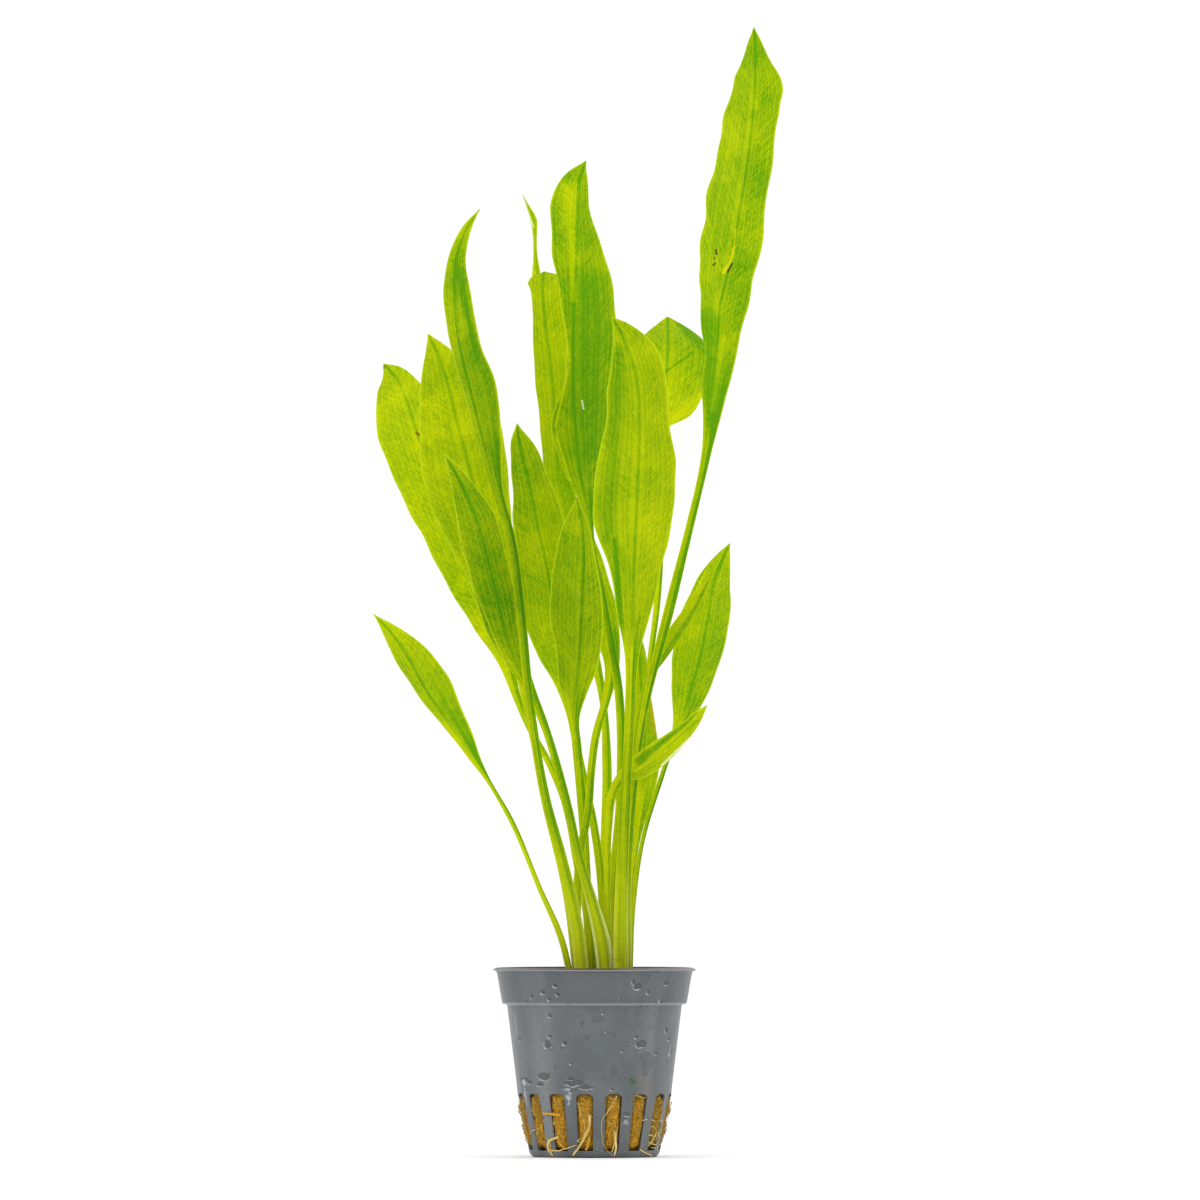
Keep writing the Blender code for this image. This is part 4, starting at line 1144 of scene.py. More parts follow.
@dataclass
class Roots:
    """The roots that come out of the slots: thick ones that stand for CAD nodes, and many thin ones."""

    pot: NetPot
    THICK = {  # radius, key, then angle, distance from the wall's middle and height of each point
        "root_orange_left": (
            0.5, 0.95, [(-28.5, 0, 11.6), (-33, 0.5, 11.8), (-38, 1.4, 12), (-43.5, 1.5, 12.1)]
        ),
        "root_left_over_ring": (
            0.45, 0.12,
            [(-32, 0, 5.6), (-33.8, 0.7, 5.4), (-38.5, 1.6, 4.6), (-41, 1.7, 2.8), (-37, 1.4, 0.6)],
        ),
        "root_front_left": (
            0.45, 0.05,
            [(-4, 0, 11.7), (-4.4, 0.1, 8.7), (-8, 0.5, 5.8), (-12.5, 1.4, 3.1), (-18.5, 1.4, 0.6)],
        ),
        "root_front_right": (0.4, 0.2, [(16.5, 0, 7.4), (17.8, 0.5, 5), (18, 1.3, 2.6), (16.5, 1.3, 0.6)]),
    }
    THIN = (  # the same, without names
        (
            0.16, 0.10,
            [(-13.5, -0.2, 15.1), (-11.5, 0.2, 12.6), (-9.2, 0.3, 10.5), (-7.9, 0.3, 7.2), (-9.5, 0.7, 5.0)],
        ),
        (0.20, 0.30, [(-39, 1.4, 2.0), (-33, 1.2, 1.9), (-24, 0.9, 2.6), (-15, 0.9, 3.6)]),
        (0.42, 0.70, [(-7.4, -0.2, 2.2), (-6.0, 0.3, 3.2), (-4.6, 0.3, 4.6), (-4.3, 0.0, 5.8)]),
        (0.45, 0.90, [(-33, -0.1, 4.8), (-31.0, 0.2, 3.9), (-28.2, 0.2, 2.9), (-26.4, -0.2, 2.7)]),
        (0.38, 0.75, [(-36.5, -0.2, 9.6), (-35, 0.2, 9.3), (-32, 0.2, 9.4), (-29, -0.1, 9.9)]),
        (0.18, 0.05, [(17.5, -0.2, 17.0), (14.5, 0.2, 15.0), (11.3, 0.4, 13.0), (8.6, 0.6, 11.8)]),
        (0.13, 0.20, [(16.4, -0.2, 16.4), (13.5, 0.2, 14.6), (9.8, 0.5, 12.4), (7.5, 0.6, 11.2)]),
        (
            0.09, 0.45,
            [
                (7.8, 0.5, 11.6), (5.9, 0.6, 9.6), (5.8, 0.6, 7.0), (6.8, 0.6, 4.6), (9.4, 0.7, 2.6),
                (16, 0.9, 0.6),
            ],
        ),
        (0.22, 0.15, [(19.5, -0.1, 8.4), (18.6, 0.3, 6.6), (17.2, 0.6, 4.2), (15.0, 0.9, 1.6)]),
        (0.13, 0.25, [(-12.2, 0.2, 4.4), (-14.5, 0.4, 4.6), (-10.5, 0.3, 5.4), (-5.6, 0.1, 5.7)]),
        (0.18, 0.55, [(-41.5, 0.9, 5.2), (-39.4, 1.1, 3.6), (-39.8, 1.2, 2.2), (-37.2, 1.1, 0.5)]),
        (0.12, 0.15, [(-71, 0.3, 6.1), (-63, 0.8, 6.9), (-55, 0.8, 7.6), (-49, 0.2, 8.3)]),
        (0.40, 0.80, [(-49.5, -0.1, 9.2), (-48.8, 0.3, 8.4), (-49.0, 0.3, 7.4), (-48.0, -0.1, 6.6)]),
        (0.13, 0.12, [(37.5, 0.1, 9.6), (41.5, 0.5, 10.1), (46, 0.6, 10.3), (49, 0.2, 10.1)]),
        (0.11, 0.20, [(33.0, 0.0, 17.0), (37, 0.2, 16.6), (41, 0.2, 16.2), (44, 0.0, 16.6)]),
        (0.18, 0.18, [(43, 0.7, 2.2), (47, 1.0, 1.5), (53, 1.1, 0.8), (58, 1.1, 0.3)]),
        (0.17, 0.10, [(51, 0.0, 10.7), (58, 0.4, 9.8), (66, 0.6, 9.9), (75, 0.2, 9.2)]),
        (0.14, 0.22, [(50, 0.0, 8.8), (57, 0.5, 8.2), (63, 0.7, 6.7), (70, 0.5, 5.4), (78, 0.2, 5.0)]),
        (0.16, 0.15, [(49, 0.0, 6.6), (55, 0.6, 5.9), (62, 0.7, 5.8), (70, 0.3, 7.2)]),
        (0.15, 0.30, [(50, 0.0, 4.9), (56, 0.6, 3.9), (64, 0.8, 3.6), (72, 0.4, 4.4), (80, 0.1, 4.2)]),
        (0.20, 0.08, [(54, 0.0, 3.2), (58, 0.6, 4.6), (61, 0.7, 6.6), (62, 0.3, 8.7)]),
        (0.15, 0.12, [(66, 0.2, 11.6), (70, 0.5, 9.6), (71, 0.6, 7.6), (68, 0.2, 5.6)]),
        (0.12, 0.35, [(60, 0.0, 2.6), (66, 0.7, 2.5), (73, 0.9, 3.4), (82, 0.5, 3.3)]),
        (0.15, 0.30, [(120, 0.0, 8.7), (128, 0.6, 6.9), (133, 1.0, 3.5), (130, 1.1, 0.6)]),
        (0.18, 0.12, [(175, 0.0, 12.7), (180, 0.6, 9.9), (184, 0.9, 5.5), (190, 1.1, 0.8)]),
        (0.14, 0.45, [(218, 0.0, 9.7), (226, 0.6, 8.0), (236, 0.8, 7.5), (244, 0.2, 6.8)]),
    )

    def route(self, points: Sequence[Row]) -> np.ndarray:
        """Centre points in millimetres from angles, distances from the wall's middle and heights."""
        turned = []
        for angle, out, z in points:
            turned.append(tuple(self.pot.on_wall(angle, z, out - self.pot.wall / 2)))
        return spline(turned, 9 * len(turned))

    def build(self) -> list[bpy.types.Object]:
        """Make the thick roots one by one and the thin ones as one piece."""
        made = []
        finish = RootFinish().dress("finish_roots")
        for name, (radius, key, points) in self.THICK.items():
            bm = bmesh.new()
            route = self.route(points)
            share = np.linspace(0, 1, len(route))
            radii = radius * (1 - 0.5 * share) * (1 + 0.06 * np.sin(share * 31 + radius * 40))
            radii[-4:] *= np.array([0.96, 0.85, 0.62, 0.25])
            tube(bm, route * MM, radii * MM, 14, key, 0.9)
            made.append(make_object("fine_" + name, bm, finish, [name]))
        bm = bmesh.new()
        for radius, key, points in self.THIN:
            route = self.route(points)
            shifts = [Vector((i, 0, 0)) for i in (3, 17, 31)]
            wander = np.array([[noise.noise(Vector(p) * 0.7 + shift) for shift in shifts] for p in route])
            radii = np.full(len(route), radius) * np.linspace(1.0, 0.6, len(route))
            radii[-2:] *= (0.7, 0.3)
            tube(bm, (route + wander * 0.16) * MM, radii * MM, 7, key)
        made.append(make_object("thin_roots", bm, finish))
        return made


@dataclass
class Crown:
    """The squat crown, spun and roughened. Sizes in millimetres."""

    x: float = 2.0
    y: float = -0.5
    steps: int = 72
    PROFILE = (  # radius and height
        (0.0, 38.3), (5.0, 38.5), (9.0, 40.7), (10.6, 42.6), (11.1, 43.9), (10.2, 44.8), (7.5, 45.1),
        (4.5, 45.25), (2.0, 45.3), (0.0, 45.3),
    )

    def build(self) -> bpy.types.Object:
        """Spin the crown and roughen it."""
        bm = lathe(self.PROFILE, self.steps)
        bmesh.ops.subdivide_edges(bm, edges=bm.edges, cuts=1, use_grid_fill=True)
        for v in bm.verts:
            rough = noise.fractal(v.co * 0.5, 0.7, 2.0, 4)
            v.co += Vector((v.co.x, v.co.y, 6.0)).normalized() * (0.35 * rough - 0.25)
            v.co += Vector((self.x, self.y, 0.0))
        to_metres(bm)
        made = make_object("fine_crown", bm, CrownFinish().dress("finish_crown"), ["crown"])
        made.data.shade_smooth()
        return made


@dataclass
class Duckweed:
    """A speck of duckweed stuck to the wall: a few overlapping fronds. Sizes in millimetres."""

    pot: NetPot
    fronds: tuple[Row, ...] = (  # angle, height and width
        (29.6, 20.8, 1.1), (27.4, 21.3, 0.7), (31.6, 20.5, 0.75), (29.0, 20.0, 0.6), (26.9, 22.0, 0.3),
    )

    def build(self) -> bpy.types.Object:
        """Flatten small balls against the wall."""
        bm = bmesh.new()
        for angle, z, size in self.fronds:
            turn = math.radians(angle)
            facing = Vector((math.sin(turn), -math.cos(turn), -0.1)).normalized()
            made = bmesh.ops.create_icosphere(bm, subdivisions=2, radius=0.5)["verts"]
            bmesh.ops.scale(bm, vec=(size * MM, size * 0.85 * MM, 0.3 * MM), verts=made)
            across = Vector((0, 0, 1)).cross(facing).normalized()
            place = Matrix((across, facing.cross(across), facing)).transposed().to_4x4()
            at = self.pot.on_wall(angle, z, 0.05) * MM
            bmesh.ops.transform(bm, matrix=Matrix.Translation(at) @ place, verts=made)
        for face in bm.faces:
            face.smooth = True
        return make_object("duckweed", bm, WeedFinish().dress("finish_duckweed"))


@dataclass
class Studio:
    """White floor, white surroundings, soft lights and the camera."""

    distance: float = 5.0
    eye: float = 0.100
    aim: tuple[float, float] = (0.0015, 0.1514)  # across and up, in metres
    lens: float = 551.5
    glow: float = 1.07  # strength of the white surroundings
    LAMPS = (  # name, place, height of the point it faces, size and power
        ("lamp_left", (-0.9, -1.0, 0.9), 0.10, 0.5, 2.6),
        ("lamp_right", (1.3, -0.7, 0.6), 0.10, 0.4, 1.3),
        ("lamp_over", (0.0, 0.2, 2.2), 0.0, 1.6, 6.0),
        ("lamp_behind", (0.3, 1.6, 0.8), 0.15, 0.9, 1.5),
    )

    def soft_light(self, name: str, at: Row, target: Row, size: float, power: float) -> None:
        """Hang one square lamp that the camera doesn't see."""
        lamp = bpy.data.lights.new(name, "AREA")
        lamp.size, lamp.energy = size, power
        made = bpy.data.objects.new(name, lamp)
        made.location = at
        made.rotation_euler = (Vector(target) - Vector(at)).to_track_quat("-Z", "Y").to_euler()
        made.visible_camera = False
        bpy.context.scene.collection.objects.link(made)

    def build(self) -> None:
        """Put the whole studio up."""
        bm = bmesh.new()
        bmesh.ops.create_circle(bm, cap_ends=True, segments=96, radius=6.0)
        mesh = bpy.data.meshes.new("floor")
        bm.to_mesh(mesh)
        bm.free()
        mesh.materials.append(FloorFinish().dress("finish_floor"))
        floor = bpy.data.objects.new("floor", mesh)
        bpy.context.scene.collection.objects.link(floor)

        world = bpy.data.worlds.new("surroundings")
        world.use_nodes = True
        back = world.node_tree.nodes["Background"]
        back.inputs["Color"].default_value = (1.0, 1.0, 1.0, 1.0)
        back.inputs["Strength"].default_value = self.glow
        scene = bpy.context.scene
        scene.world = world
        scene.view_settings.view_transform = "Standard"

        for name, at, height, size, power in self.LAMPS:
            self.soft_light(name, at, (0.0, 0.0, height), size, power)

        camera = bpy.data.cameras.new("camera")
        camera.lens, camera.sensor_width = self.lens, 36.0
        camera.clip_start, camera.clip_end = 0.1, 50.0
        made = bpy.data.objects.new("camera", camera)
        made.location = (0.0, -self.distance, self.eye)
        look = Vector((self.aim[0], 0.0, self.aim[1])) - made.location
        made.rotation_euler = look.to_track_quat("-Z", "Y").to_euler()
        scene.collection.objects.link(made)
        scene.camera = made


# --- The plant ----------------------------------------------------------------------------------------------


POT_FINISH = PotFinish(
    wet=((-67.5, 36.4, 1.0, 3.6), (40.5, 25.6, 2.0, 3.4), (36.5, 27.2, 1.0, 1.4), (-37.0, 22.6, 1.9, 1.1),
         (-15.0, 19.6, 3.6, 1.3), (33.6, 31.0, 1.3, 0.8), (-34.0, 30.6, 0.8, 1.3), (2.0, 37.6, 1.6, 1.0),
         (25.8, 11.2, 1.4, 1.2), (14.0, 24.0, 1.0, 2.0)),
    film_and_sheen=((-63.5, 20.4, 1.0, 1.0), (-64.5, 16.5, 0.5, 2.4), (-19.5, 16.2, 1.0, 1.7), (-21.0, 18.6, 1.0, 0.6),
          (26.0, 9.6, 0.8, 0.8), (66.5, 29.2, 0.4, 1.4)),
    drops=(
        (-24, 46.8, 0.81, 0.49), (-33, 45.0, 0.88, 0.54), (-23, 44.5, 0.59, 0.54),
        (-29, 43.2, 0.57, 0.59), (-42, 43.8, 0.53, 0.54), (27, 46.6, 1.28, 0.89), (24, 47.7, 0.54, 0.74),
        (35, 45.0, 0.60, 0.59), (48, 47.4, 1.32, 0.64), (-21, 31.2, 0.85, 0.64), (-32, 33.0, 0.59, 0.54),
        (-35, 30.9, 0.91, 1.09), (-31, 38.6, 0.63, 0.59), (34, 30.9, 1.90, 0.99), (30, 32.8, 0.57, 0.49),
        (58, 34.7, 0.84, 0.79), (63, 32.2, 0.88, 0.54), (67, 29.0, 1.64, 1.24), (49, 28.2, 0.53, 0.35),
        (-64, 32.0, 0.89, 0.54), (-39, 22.2, 2.56, 1.09), (-44, 20.0, 1.38, 0.64),
        (-15, 20.3, 3.07, 0.84), (-6, 19.2, 1.99, 0.54), (-17, 21.4, 1.03, 0.49),
        (-64, 21.1, 3.06, 0.74), (-56, 20.5, 1.49, 0.54), (6, 39.3, 0.30, 0.30), (20, 29.0, 0.31, 0.30),
        (-17, 25.7, 0.36, 0.35), (13, 18.6, 0.36, 0.30), (8, 34.4, 0.25, 0.25), (46, 42.6, 0.72, 0.84),
        (26, 11.8, 1.37, 0.54),
    ),
)

LEAVES = [
    Leaf("leaf_broad_front", -10, [
        (7.2, -6.8, 45.7, 2.2), (7.2, -7.5, 65.5, 1.95), (8.5, -9.3, 99.7, 1.4), (9.6, -11.1, 120.1, 1.4),
        (10.2, -14.8, 137.7, 2.19), (10.3, -17.3, 145.7, 3.79, 4.58), (10.6, -20.7, 158, 5.98, 7.57),
        (11.2, -26.6, 172.7, 11.14, 10.25), (11.8, -31.7, 186.2, 10.83, 10.53),
        (12.1, -35.7, 199.6, 8.64, 8.34), (11.4, -37.7, 210.4, 7.54, 8.14), (9, -38, 219, 4.37, 7.05),
        (6.4, -37, 224.7, 1.59, 2.68), (4.7, -36, 227.4, 0),
    ], LeafFinish(depth=0.24, yellow=0.3, specks=0.08, left_painted_shade=0.1, sheath=0.15, marks=(
        *strokes(
            Blemish.SHADE, (5.5, 167.7, 7.5, 137.8, 1.2), (7.5, 137.8, 6.6, 53.4, 1.2),
            (6.6, 218.8, 3.6, 167.7, 2.8, 0.5),
        ),
    )), lean=(0.14, 0.1), wave=0.5, seed=1),
    Leaf("leaf_spoon", 14, [
        (-0.4, -2.2, 45.6, 1.74), (-1.8, -1.8, 69.8, 1.2), (-2.7, -1.4, 86.1, 1.2), (-3.7, -3, 99.7, 1.3),
        (-4.7, -6.1, 110.6, 1.3), (-5.5, -9.4, 119.5, 1.5), (-5.1, -11.8, 126.8, 4.59, 3.29),
        (-4.2, -14.6, 136.3, 6.78, 5.38), (-3.6, -17.5, 147.1, 9.17, 5.68),
        (-3.3, -19.5, 155.2, 8.96, 4.58), (-3, -22.2, 164.7, 7.57, 2.69), (-3.6, -24.7, 173.3, 4.38, 1.39),
        (-4.7, -26, 179.1, 0),
    ], LeafFinish(depth=0.4, yellow=0.4, specks=0.45), lean=(0.12, 0.12), wave=0.4, seed=2),
    Leaf("leaf_sickle", 28, [
        (-2.9, -6.8, 45.7, 2.07), (-5.2, -7.3, 64.7, 1.75), (-8.9, -8.2, 80.6, 1.6), (-13.2, -9.2, 97, 1.3),
        (-17.2, -11.6, 120.6, 1.2), (-20.2, -17.2, 149.5, 1.3), (-22.6, -19.9, 167.4, 1.29),
        (-26.4, -20.2, 181.3, 1.49, 1.59), (-30, -19.8, 193.9, 1.89, 4.88),
        (-33.2, -18.7, 206.7, 2.19, 6.48), (-36.5, -16, 220.6, 2.69, 5.18), (-37.9, -12, 234.6, 3.29, 4.09),
        (-37.3, -8, 245, 2.2, 2.4), (-34.4, -6, 252.9, 1.2), (-31.2, -4, 257.6, 0),
    ], LeafFinish(depth=0.42, yellow=0.15, specks=0.12, marks=(
        *strokes(Blemish.SHADE, (-37.7, 243.3, -31.7, 216.6, 1.4)),
    )), wave=0.3, seed=3),
    Leaf("leaf_left_dark", -16, [
        (3.1, -6, 45.7, 1.89), (2.1, -6.6, 57.9, 2.23, 2.36), (0.2, -7, 66.2, 1.8), (-4, -7.6, 80.6, 1.2),
        (-7.4, -7.8, 95.3, 1.3), (-13.5, -7.6, 117.1, 1.1), (-18.1, -8.5, 128.5, 1.6),
        (-23.6, -10.4, 140.4, 4.09), (-26.2, -12.5, 151.3, 5.39, 5.19), (-28.9, -15.3, 162, 5.68, 5.38),
        (-31.9, -19.1, 172.8, 5.18), (-34.8, -22.7, 179.8, 3.48), (-37.8, -25.3, 185.8, 1.89),
        (-40.8, -27.8, 190.7, 0),
    ], LeafFinish(depth=0.52, yellow=0.1, specks=1.0, sheath=0.5, marks=(
        *strokes(Blemish.PALE_AND_LIT, (-38.8, 179.9, -32.8, 154.9, 0.35), (-32.8, 154.9, -22.7, 130.4, 0.4)),
    )), lean=(0.16, 0.1), wave=0.3, seed=4),
    Leaf("leaf_low_left", 24, [
        (-5.9, -4.6, 45.7, 0.9), (-8.9, -6.5, 59, 0.9), (-14.9, -9.5, 73.1, 0.7), (-22.6, -13, 91.5, 0.7),
        (-29.7, -16, 103.8, 0.8), (-32.7, -17.2, 108.1, 1.1, 1.89), (-35.4, -18.5, 112.2, 1.39, 3.29),
        (-40.2, -20.8, 119.2, 2.19, 4.88), (-45.9, -23.8, 127.6, 3.28, 6.27),
        (-50.6, -27.5, 136.2, 3.78, 4.87), (-55.1, -30.9, 142.4, 2.19), (-59.6, -33.6, 147.2, 0),
    ], LeafFinish(depth=0.42, yellow=0.3, specks=0.0, tip_yellow=0.3, grain=0.4),
        lean=(0.12, 0.12), wave=0.3, seed=5),
    Leaf("leaf_small_arching", 16, [
        (3.9, -2.6, 45.6, 1.35), (3.5, -3.4, 75.2, 1), (3.8, -4.6, 90.2, 1.1), (5, -5.8, 98.9, 1.3),
        (7.2, -6.2, 103, 1.5), (10.7, -6.4, 105.5, 2.7, 3.3), (15.6, -7.3, 108.5, 3.49),
        (20.8, -8.9, 112.3, 2.99, 2.89), (25.3, -10.7, 116.3, 2.2, 1.9), (28.6, -12.3, 120.3, 1.4, 1.1),
        (30.5, -13.1, 122.7, 0),
    ], LeafFinish(depth=0.12, yellow=0.5, specks=0.0, marks=(
        *strokes(Blemish.SHADE, (12.3, 107.8, 27.6, 119.8, 2.4)),
        *strokes(Blemish.PAINTED_GLINT, (13.7, 102.1, 20.0, 106.8, 0.35), (18.3, 106.5, 25.9, 113.8, 0.4)),
        *strokes(Blemish.PALE_AND_LIT, (11.3, 104.9, 28.7, 120.1, 0.9)),
    )), lean=(0.5, 0.2), wave=0.2, seed=6),
    Leaf("leaf_centre_left", -14, [
        (2.3, 2.4, 45.6, 1.4), (2, 1.2, 72.5, 1.14), (-0.4, 0.8, 91.3, 1.1), (-3.2, -0.5, 103.8, 1.1),
        (-5.1, -2.9, 113.3, 1.1), (-6.4, -5, 120.9, 1.4), (-7.5, -6.3, 127.4, 2.7, 2.4),
        (-8.9, -7.9, 136.3, 5.69, 4.89), (-10.5, -9.3, 145.8, 8.18, 6.79), (-12.4, -11, 157.3, 7.58),
        (-14.3, -12.6, 166.1, 6.78, 7.58), (-15.9, -13.8, 173.5, 5.98, 7.58),
        (-17.5, -15.4, 182.1, 4.59, 5.98), (-19.4, -16.6, 189.7, 3.29, 4.88),
        (-20.5, -17, 194.6, 2.19, 2.99), (-21, -17.3, 199.1, 0),
    ], LeafFinish(depth=0.41, yellow=0.45, specks=0.45), lean=(0.1, 0.14), wave=0.5, seed=7),
    Leaf("leaf_left_pointed", -12, [
        (-4.1, -2.4, 45.6, 1.43), (-7.2, -3.6, 69.8, 1.17), (-12.4, -4.6, 94.2, 1.1),
        (-17.3, -5.5, 117.4, 1.1), (-21.1, -6.3, 135, 1.6), (-24.9, -6.3, 151, 5.99, 4.89),
        (-28.7, -4.8, 166.8, 9.49, 6.79), (-32.8, -3.5, 182.5, 12.49, 10.09),
        (-37.2, -1.9, 199, 10.3, 11.7), (-40.7, 0, 212.8, 6.5, 8.7), (-43.1, 2, 219.4, 3.3),
        (-45.3, 3, 223.9, 0),
    ], LeafFinish(depth=0.24, yellow=0.6, specks=0.6), wave=0.4, seed=8),
    Leaf("leaf_far_left", -22, [
        (-2.3, 1.4, 45.6, 0.9), (-2.3, 1.2, 65.7, 0.9), (-4.8, 0.5, 79.3, 0.9), (-8.3, -1.2, 97, 0.9),
        (-12.1, -1.9, 106.5, 0.9), (-18.4, -1.9, 118.2, 0.9), (-21.1, -1.7, 125, 1.1),
        (-23.8, -0.6, 133.7, 2), (-28.5, 2, 145.4, 4.4, 4.1), (-33.9, 5.9, 157.7, 6.01, 5.41),
        (-39.4, 11.5, 172, 7.62, 6.82), (-45, 18.1, 187, 9.23, 8.43), (-49.1, 23, 199.2, 9.54, 8.74),
        (-52.4, 27.6, 208.5, 7.14, 6.84), (-55.1, 29.8, 213.5, 3.82, 3.32), (-57.7, 30.9, 216.3, 0),
    ], LeafFinish(depth=0.26, yellow=0.6, specks=0.5, marks=(
        *strokes(Blemish.RUST, (-48.6, 197.3, -48.0, 196.8, 0.55), (-57.6, 215.6, -58.4, 214.2, 0.4)),
    )), wave=0.4, seed=9),
    Leaf("leaf_tall_right", 28, [
        (8.5, -2.2, 45.6, 1.61), (9.4, -2.2, 86.1, 1.1), (13.3, -4.3, 120.1, 1), (20.5, -9.6, 149.6, 1.4),
        (25.6, -14.7, 170.2, 1.1), (29.7, -18.3, 187.8, 1.2), (30.5, -19, 192.4, 1.35, 1.49),
        (31.1, -19.8, 197.2, 1.76, 2.17), (31.5, -20.7, 203.4, 2.22, 3.39), (32.2, -21.8, 210.2, 3.65, 4.2),
        (33, -22.4, 215.9, 3.38, 4.74), (33.4, -23, 220.7, 4.82, 5.34), (33.7, -23.6, 226.4, 5.76, 6.09),
        (33.9, -24.1, 230.2, 6.77, 6.72), (35, -24.6, 235, 8.26, 6.77), (35.8, -24.9, 238.5, 8.94, 6.63),
        (37, -25.6, 244.5, 10.69, 7.03), (38.3, -26.2, 250.4, 10.9, 6.76),
        (39.3, -26.8, 256.3, 11.26, 6.36), (40.1, -27.3, 260.9, 11.09, 6.17),
        (40.8, -27.8, 265.5, 10.68, 6.09), (41.5, -28.2, 270.1, 10.17, 6.09),
        (42.2, -28.9, 275.5, 9.76, 6.13), (42.6, -29.4, 279.5, 9.46, 6.22), (43, -29.8, 283, 8.79, 6.35),
        (43.2, -30.1, 286.2, 8.25, 6.43), (43.4, -30.5, 289.7, 7.3, 6.9), (43.5, -30.8, 291.9, 6.62, 6.52),
        (43.5, -31.1, 295.7, 4.57, 4.68), (43.5, -31.5, 299.7, 2.84, 2.7), (43.4, -31.8, 302.9, 1.62, 1.35),
        (43.1, -32, 305.9, 0),
    ], LeafFinish(depth=0.47, yellow=0.45, specks=0.15, right_painted_shade=0.06, marks=(
        *strokes(
            Blemish.SCAR, (38.2, 251.5, 37.8, 246.6, 0.3), (37.8, 246.6, 36.6, 242.2, 0.6),
            (36.6, 242.2, 34.9, 239.8, 0.7),
        ),
        *strokes(
            Blemish.HOLE, (37.2, 242.2, 36.1, 240.0, 0.4), (32.9, 246.0, 33.1, 244.9, 0.35),
            (32.2, 241.9, 32.7, 242.4, 0.35), (32.4, 243.8, 32.5, 243.7, 0.3),
        ),
        *strokes(Blemish.SHADE, (30.0, 227.0, 30.6, 200.3, 6.0)),
        *strokes(Blemish.PALE_AND_LIT, (34.7, 222.1, 32.2, 203.0, 1.8, 0.7)),
    )), lean=(0.22, 0.06), wave=0.5, wave_length=19.0, ripple=(0.02, 0.004), seed=10),
    Leaf("leaf_tall_middle", -20, [
        (5.3, 0.2, 45.6, 1.56), (4.9, 0.5, 69.8, 1.27), (7, 0, 99.7, 1.1), (6.8, 0, 124.2, 1.2),
        (2.7, 1.4, 149.7, 1), (-1.3, 3.3, 173.4, 1.2), (-4, 5.4, 186.8, 3.5, 7.01),
        (-5.1, 5.7, 196.9, 5.71, 9.81), (-5.9, 6, 214.8, 1.6, 12.52), (-5.6, 4, 233.1, 3.3, 12.21),
        (-4.9, 2, 246.7, 5.7, 7.6), (-4.6, 0, 258.8, 6.3, 3.5), (-4, -1, 265.6, 4.4, 2.2),
        (-2.3, -2, 270.9, 0),
    ], LeafFinish(depth=0.54, yellow=0.1, specks=0.05, marks=(
        *strokes(
            Blemish.PALE_AND_LIT, (-6.7, 262.9, -7.2, 254.2, 3.6), (-6.4, 252.6, -5.9, 243.3, 2.2),
            (-5.9, 242.2, -5.6, 233.0, 1.2), (-9.4, 233.0, -6.8, 216.6, 0.9),
            (-7.0, 215.0, -10.5, 199.0, 0.6), (-10.5, 196.0, -6.7, 184.0, 0.6),
        ),
        *strokes(Blemish.SHADE, (-1.3, 237.0, -1.8, 192.2, 8.0)),
        *strokes(Blemish.PAINTED_GLINT, (-3.4, 205.8, -3.0, 203.6, 0.3)),
    )), lean=(0.3, 0.12), wave=0.8, wave_length=24.0, ripple=(0.025, 0.012), seed=11),
    Leaf("leaf_low_right", -26, [
        (9.6, 0.8, 45.6, 0.7), (10.7, 1, 70.3, 0.7), (13, 1.5, 85.5, 0.6), (17.8, 3, 101.9, 0.7),
        (20.8, 3.8, 110.6, 0.8), (22.7, 4.4, 116, 1.6, 1.9), (24.6, 5.1, 121.4, 3.3, 3.5),
        (26.5, 6, 128.2, 4.91, 5.21), (28.7, 7.3, 135.7, 6.31), (30.9, 9.4, 146.8, 6.01, 6.51),
        (33.1, 11.8, 158, 3.51, 4.91), (35.3, 13.3, 163.5, 1.91), (36.9, 14.3, 167, 0),
    ], LeafFinish(depth=0.49, yellow=0.25, specks=0.25, marks=(
        *strokes(Blemish.PALE_AND_LIT, (25.9, 150.3, 30.3, 159.0, 0.8)),
    )), lean=(0.3, 0.1), wave=0.4, seed=12),
    Leaf("leaf_narrow_right", 30, [
        (6.4, 4.3, 45.6, 0.9), (7.5, 3.6, 80.6, 0.8), (9.6, 2.6, 102.4, 0.8), (12.6, 0.7, 122.8, 0.8),
        (15.6, -1.2, 132.1, 1.2), (18.6, -1.8, 137.2, 1.8), (21.9, -1.9, 142.4, 2),
        (25.4, -0.7, 147.6, 1.8), (28.9, 1.4, 153.5, 1.1), (31.7, 3.7, 158.4, 0),
    ], LeafFinish(depth=0.34, yellow=0.3, specks=0.05), lean=(0.6, 0.2), wave=0.2, seed=13),
    Leaf("leaf_back_middle", 12, [
        (-4.8, 1.5, 45.6, 1.1), (-4.8, -0.5, 61.6, 1.1), (-4, -3.6, 82, 1.1), (-1.7, -5.5, 94.2, 1.1),
        (-1, -5.2, 103.8, 1.1), (0.4, -3.1, 114.6, 1.1), (3.1, 1.1, 124.2, 1.2),
        (4.6, 4.2, 133.7, 1.9, 2.2), (2.8, 6.6, 144.7, 3.81), (-1.3, 10.2, 156.9, 4.91),
        (-6.1, 13, 170.6, 4.61), (-9.4, 15, 182.8, 4.11, 3.51), (-10.5, 17.2, 197.9, 4.42, 6.22),
        (-11.6, 18.9, 213, 4.92, 7.03), (-13.3, 20, 226.7, 3.82, 7.23), (-14.1, 21, 236.3, 3.31, 6.43),
        (-14, 22.4, 240, 3.92, 6.23), (-13.9, 22.8, 240.9, 2.61, 5.02), (-13.8, 23.2, 241.4, 0, 5.02),
    ], LeafFinish(depth=0.32, yellow=0.25, specks=0.1), lean=(0.12, 0.12), wave=0.4, seed=14),
    Leaf("leaf_bent_back", 0, [
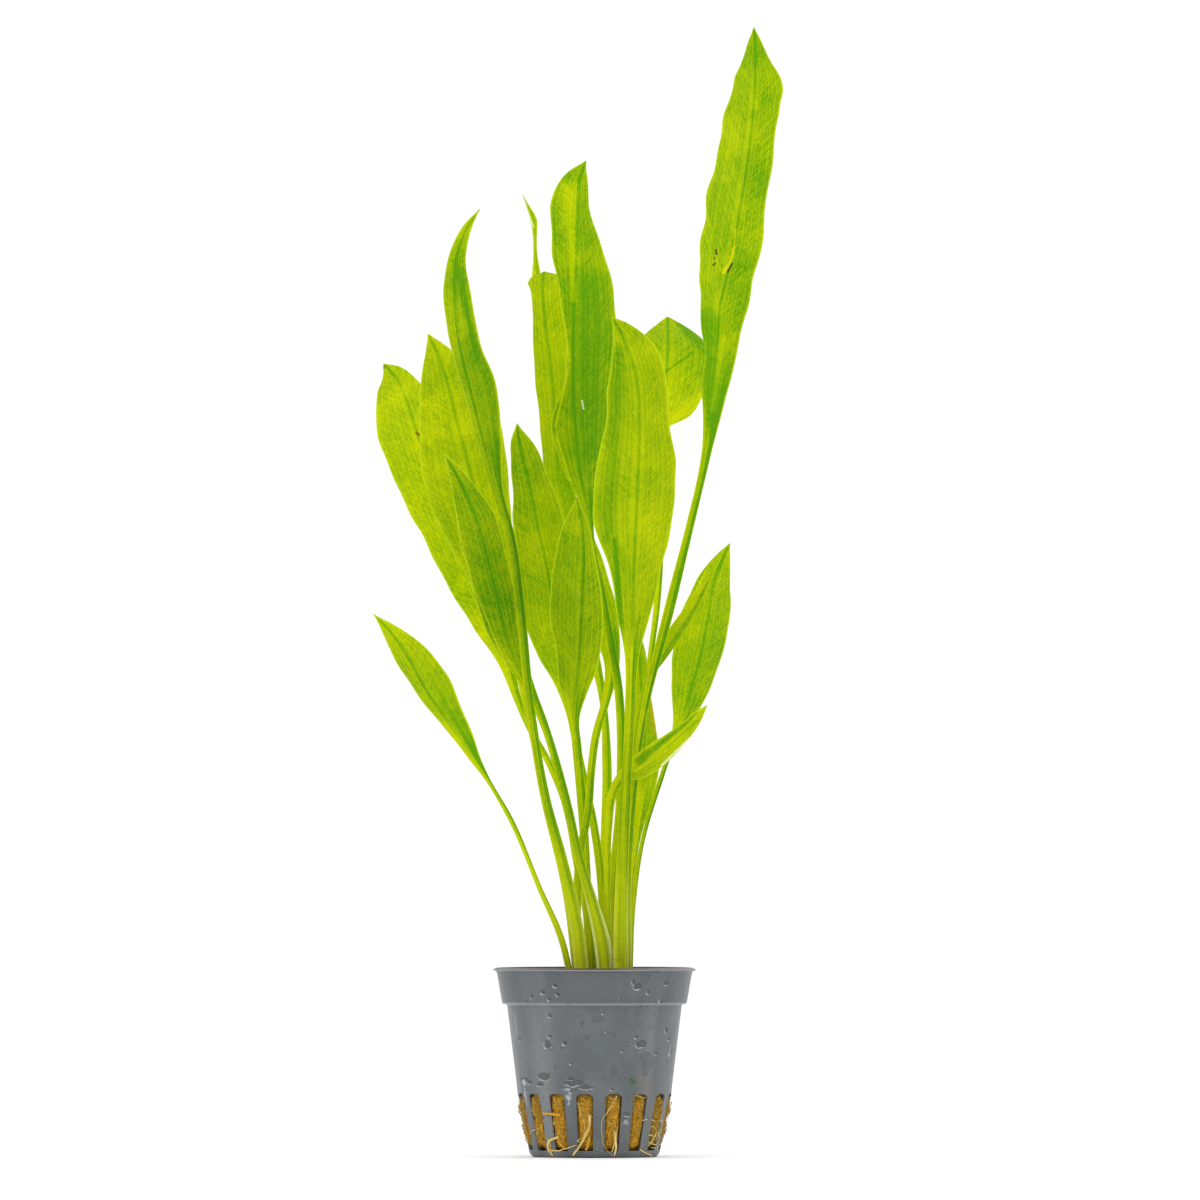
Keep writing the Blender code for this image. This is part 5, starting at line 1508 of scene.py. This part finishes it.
        (8, 6.8, 45.5, 1), (9.4, 7.4, 77.9, 1), (12.3, 8.9, 113.3, 0.9), (15.3, 11.5, 136.5, 0.8),
        (17, 13.5, 149.8, 0.9), (17.9, 16, 167.9, 1), (17.1, 19, 187, 1.1), (17.1, 20.6, 195.4, 1.81, 1.61),
        (17.5, 21.6, 199.8, 4.02, 3.41), (18.1, 22.3, 203, 6.53, 7.23), (19.1, 23.2, 207.7, 8.64, 9.75),
        (19.9, 24.8, 215.6, 10.05, 11.46), (20.1, 28, 222.3, 9.25, 11.46), (20.1, 31, 225.4, 6.94, 9.06),
        (20.1, 33.5, 227.4, 3.22, 5.03), (20.1, 35, 229.2, 0),
    ], LeafFinish(depth=0.42, yellow=0.5, specks=0.1, marks=(
        *strokes(
            Blemish.SHADE, (24.9, 227.0, 31.9, 219.4, 3.4), (27.0, 225.4, 32.5, 219.9, 4.0),
            (23.2, 227.3, 29.8, 219.9, 1.6), (25.9, 224.8, 30.3, 219.4, 1.6),
            (19.7, 214.2, 27.0, 219.6, 0.6),
        ),
        *strokes(Blemish.PALE_AND_LIT, (21.1, 200.3, 28.7, 206.3, 3.2)),
    )), wave=0.5, seed=15),
    Leaf("leaf_short_yellowing", -18, [
        (9.4, 3.9, 45.6, 0.8), (10.2, 4.1, 76.6, 0.8), (11.5, 4.6, 85.5, 0.8), (12.2, 5, 91, 1.5),
        (12.9, 5.6, 97.8, 2.4, 3), (13.4, 6.3, 106.5, 3.5, 4.41), (13.3, 6.9, 116, 3.3, 3.71),
        (12.8, 7.7, 126.9, 2.7, 2.3), (12.3, 8.6, 137.3, 1.9, 1.6), (11.5, 9.5, 145.5, 0),
    ], LeafFinish(depth=0.42, yellow=0.35, specks=0.25, marks=(
        *strokes(Blemish.AMBER, (14.8, 124.2, 16.7, 115.5, 1.6)),
        *strokes(Blemish.RUST, (15.6, 120.9, 15.7, 120.6, 0.3), (16.3, 117.6, 16.4, 117.4, 0.3)),
    )), lean=(0.2, 0.1), wave=0.3, seed=16),
    Leaf("leaf_twisted_tip", 22, [
        (3.5, 5.6, 45.5, 1), (2.6, 4.5, 77.9, 1.1), (3.4, 6.1, 106.5, 1.3), (2.3, 8.8, 124.2, 1),
        (-0.4, 12.3, 137.9, 1.6), (-4.5, 18.3, 157, 3.01), (-8.3, 25.9, 179, 3.32, 2.71),
        (-10.3, 30.9, 200.9, 3.82), (-12.8, 34, 222.9, 3.52, 2.01), (-15.5, 36, 239.4, 1.71, 1.11),
        (-16.3, 38, 248.8, 0.5), (-16.4, 39, 253.2, 0.71), (-16.7, 40, 255.9, 1.01),
        (-18.2, 41, 259.6, 0.4, 0.5), (-19.7, 42, 262.9, 0),
    ], LeafFinish(depth=0.34, yellow=0.35, specks=0.05, marks=(
        *strokes(Blemish.PAINTED_GLINT, (-18.4, 258.5, -16.8, 254.2, 0.3)),
    )), lean=(0.3, 0.2), wave=0.3, seed=17),
]


def main() -> None:
    """Build the plant in order."""
    logging.basicConfig(level=logging.INFO, format="%(message)s")
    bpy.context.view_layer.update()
    Studio().build()
    pot = NetPot(finish=POT_FINISH)
    pot.build()
    wool = Rockwool(pot)
    wool.build()
    wool.build_fibres()
    Crown().build()
    for leaf in LEAVES:
        leaf.build()
    Roots(pot).build()
    Duckweed(pot).build()


if __name__ == "__main__":
    main()
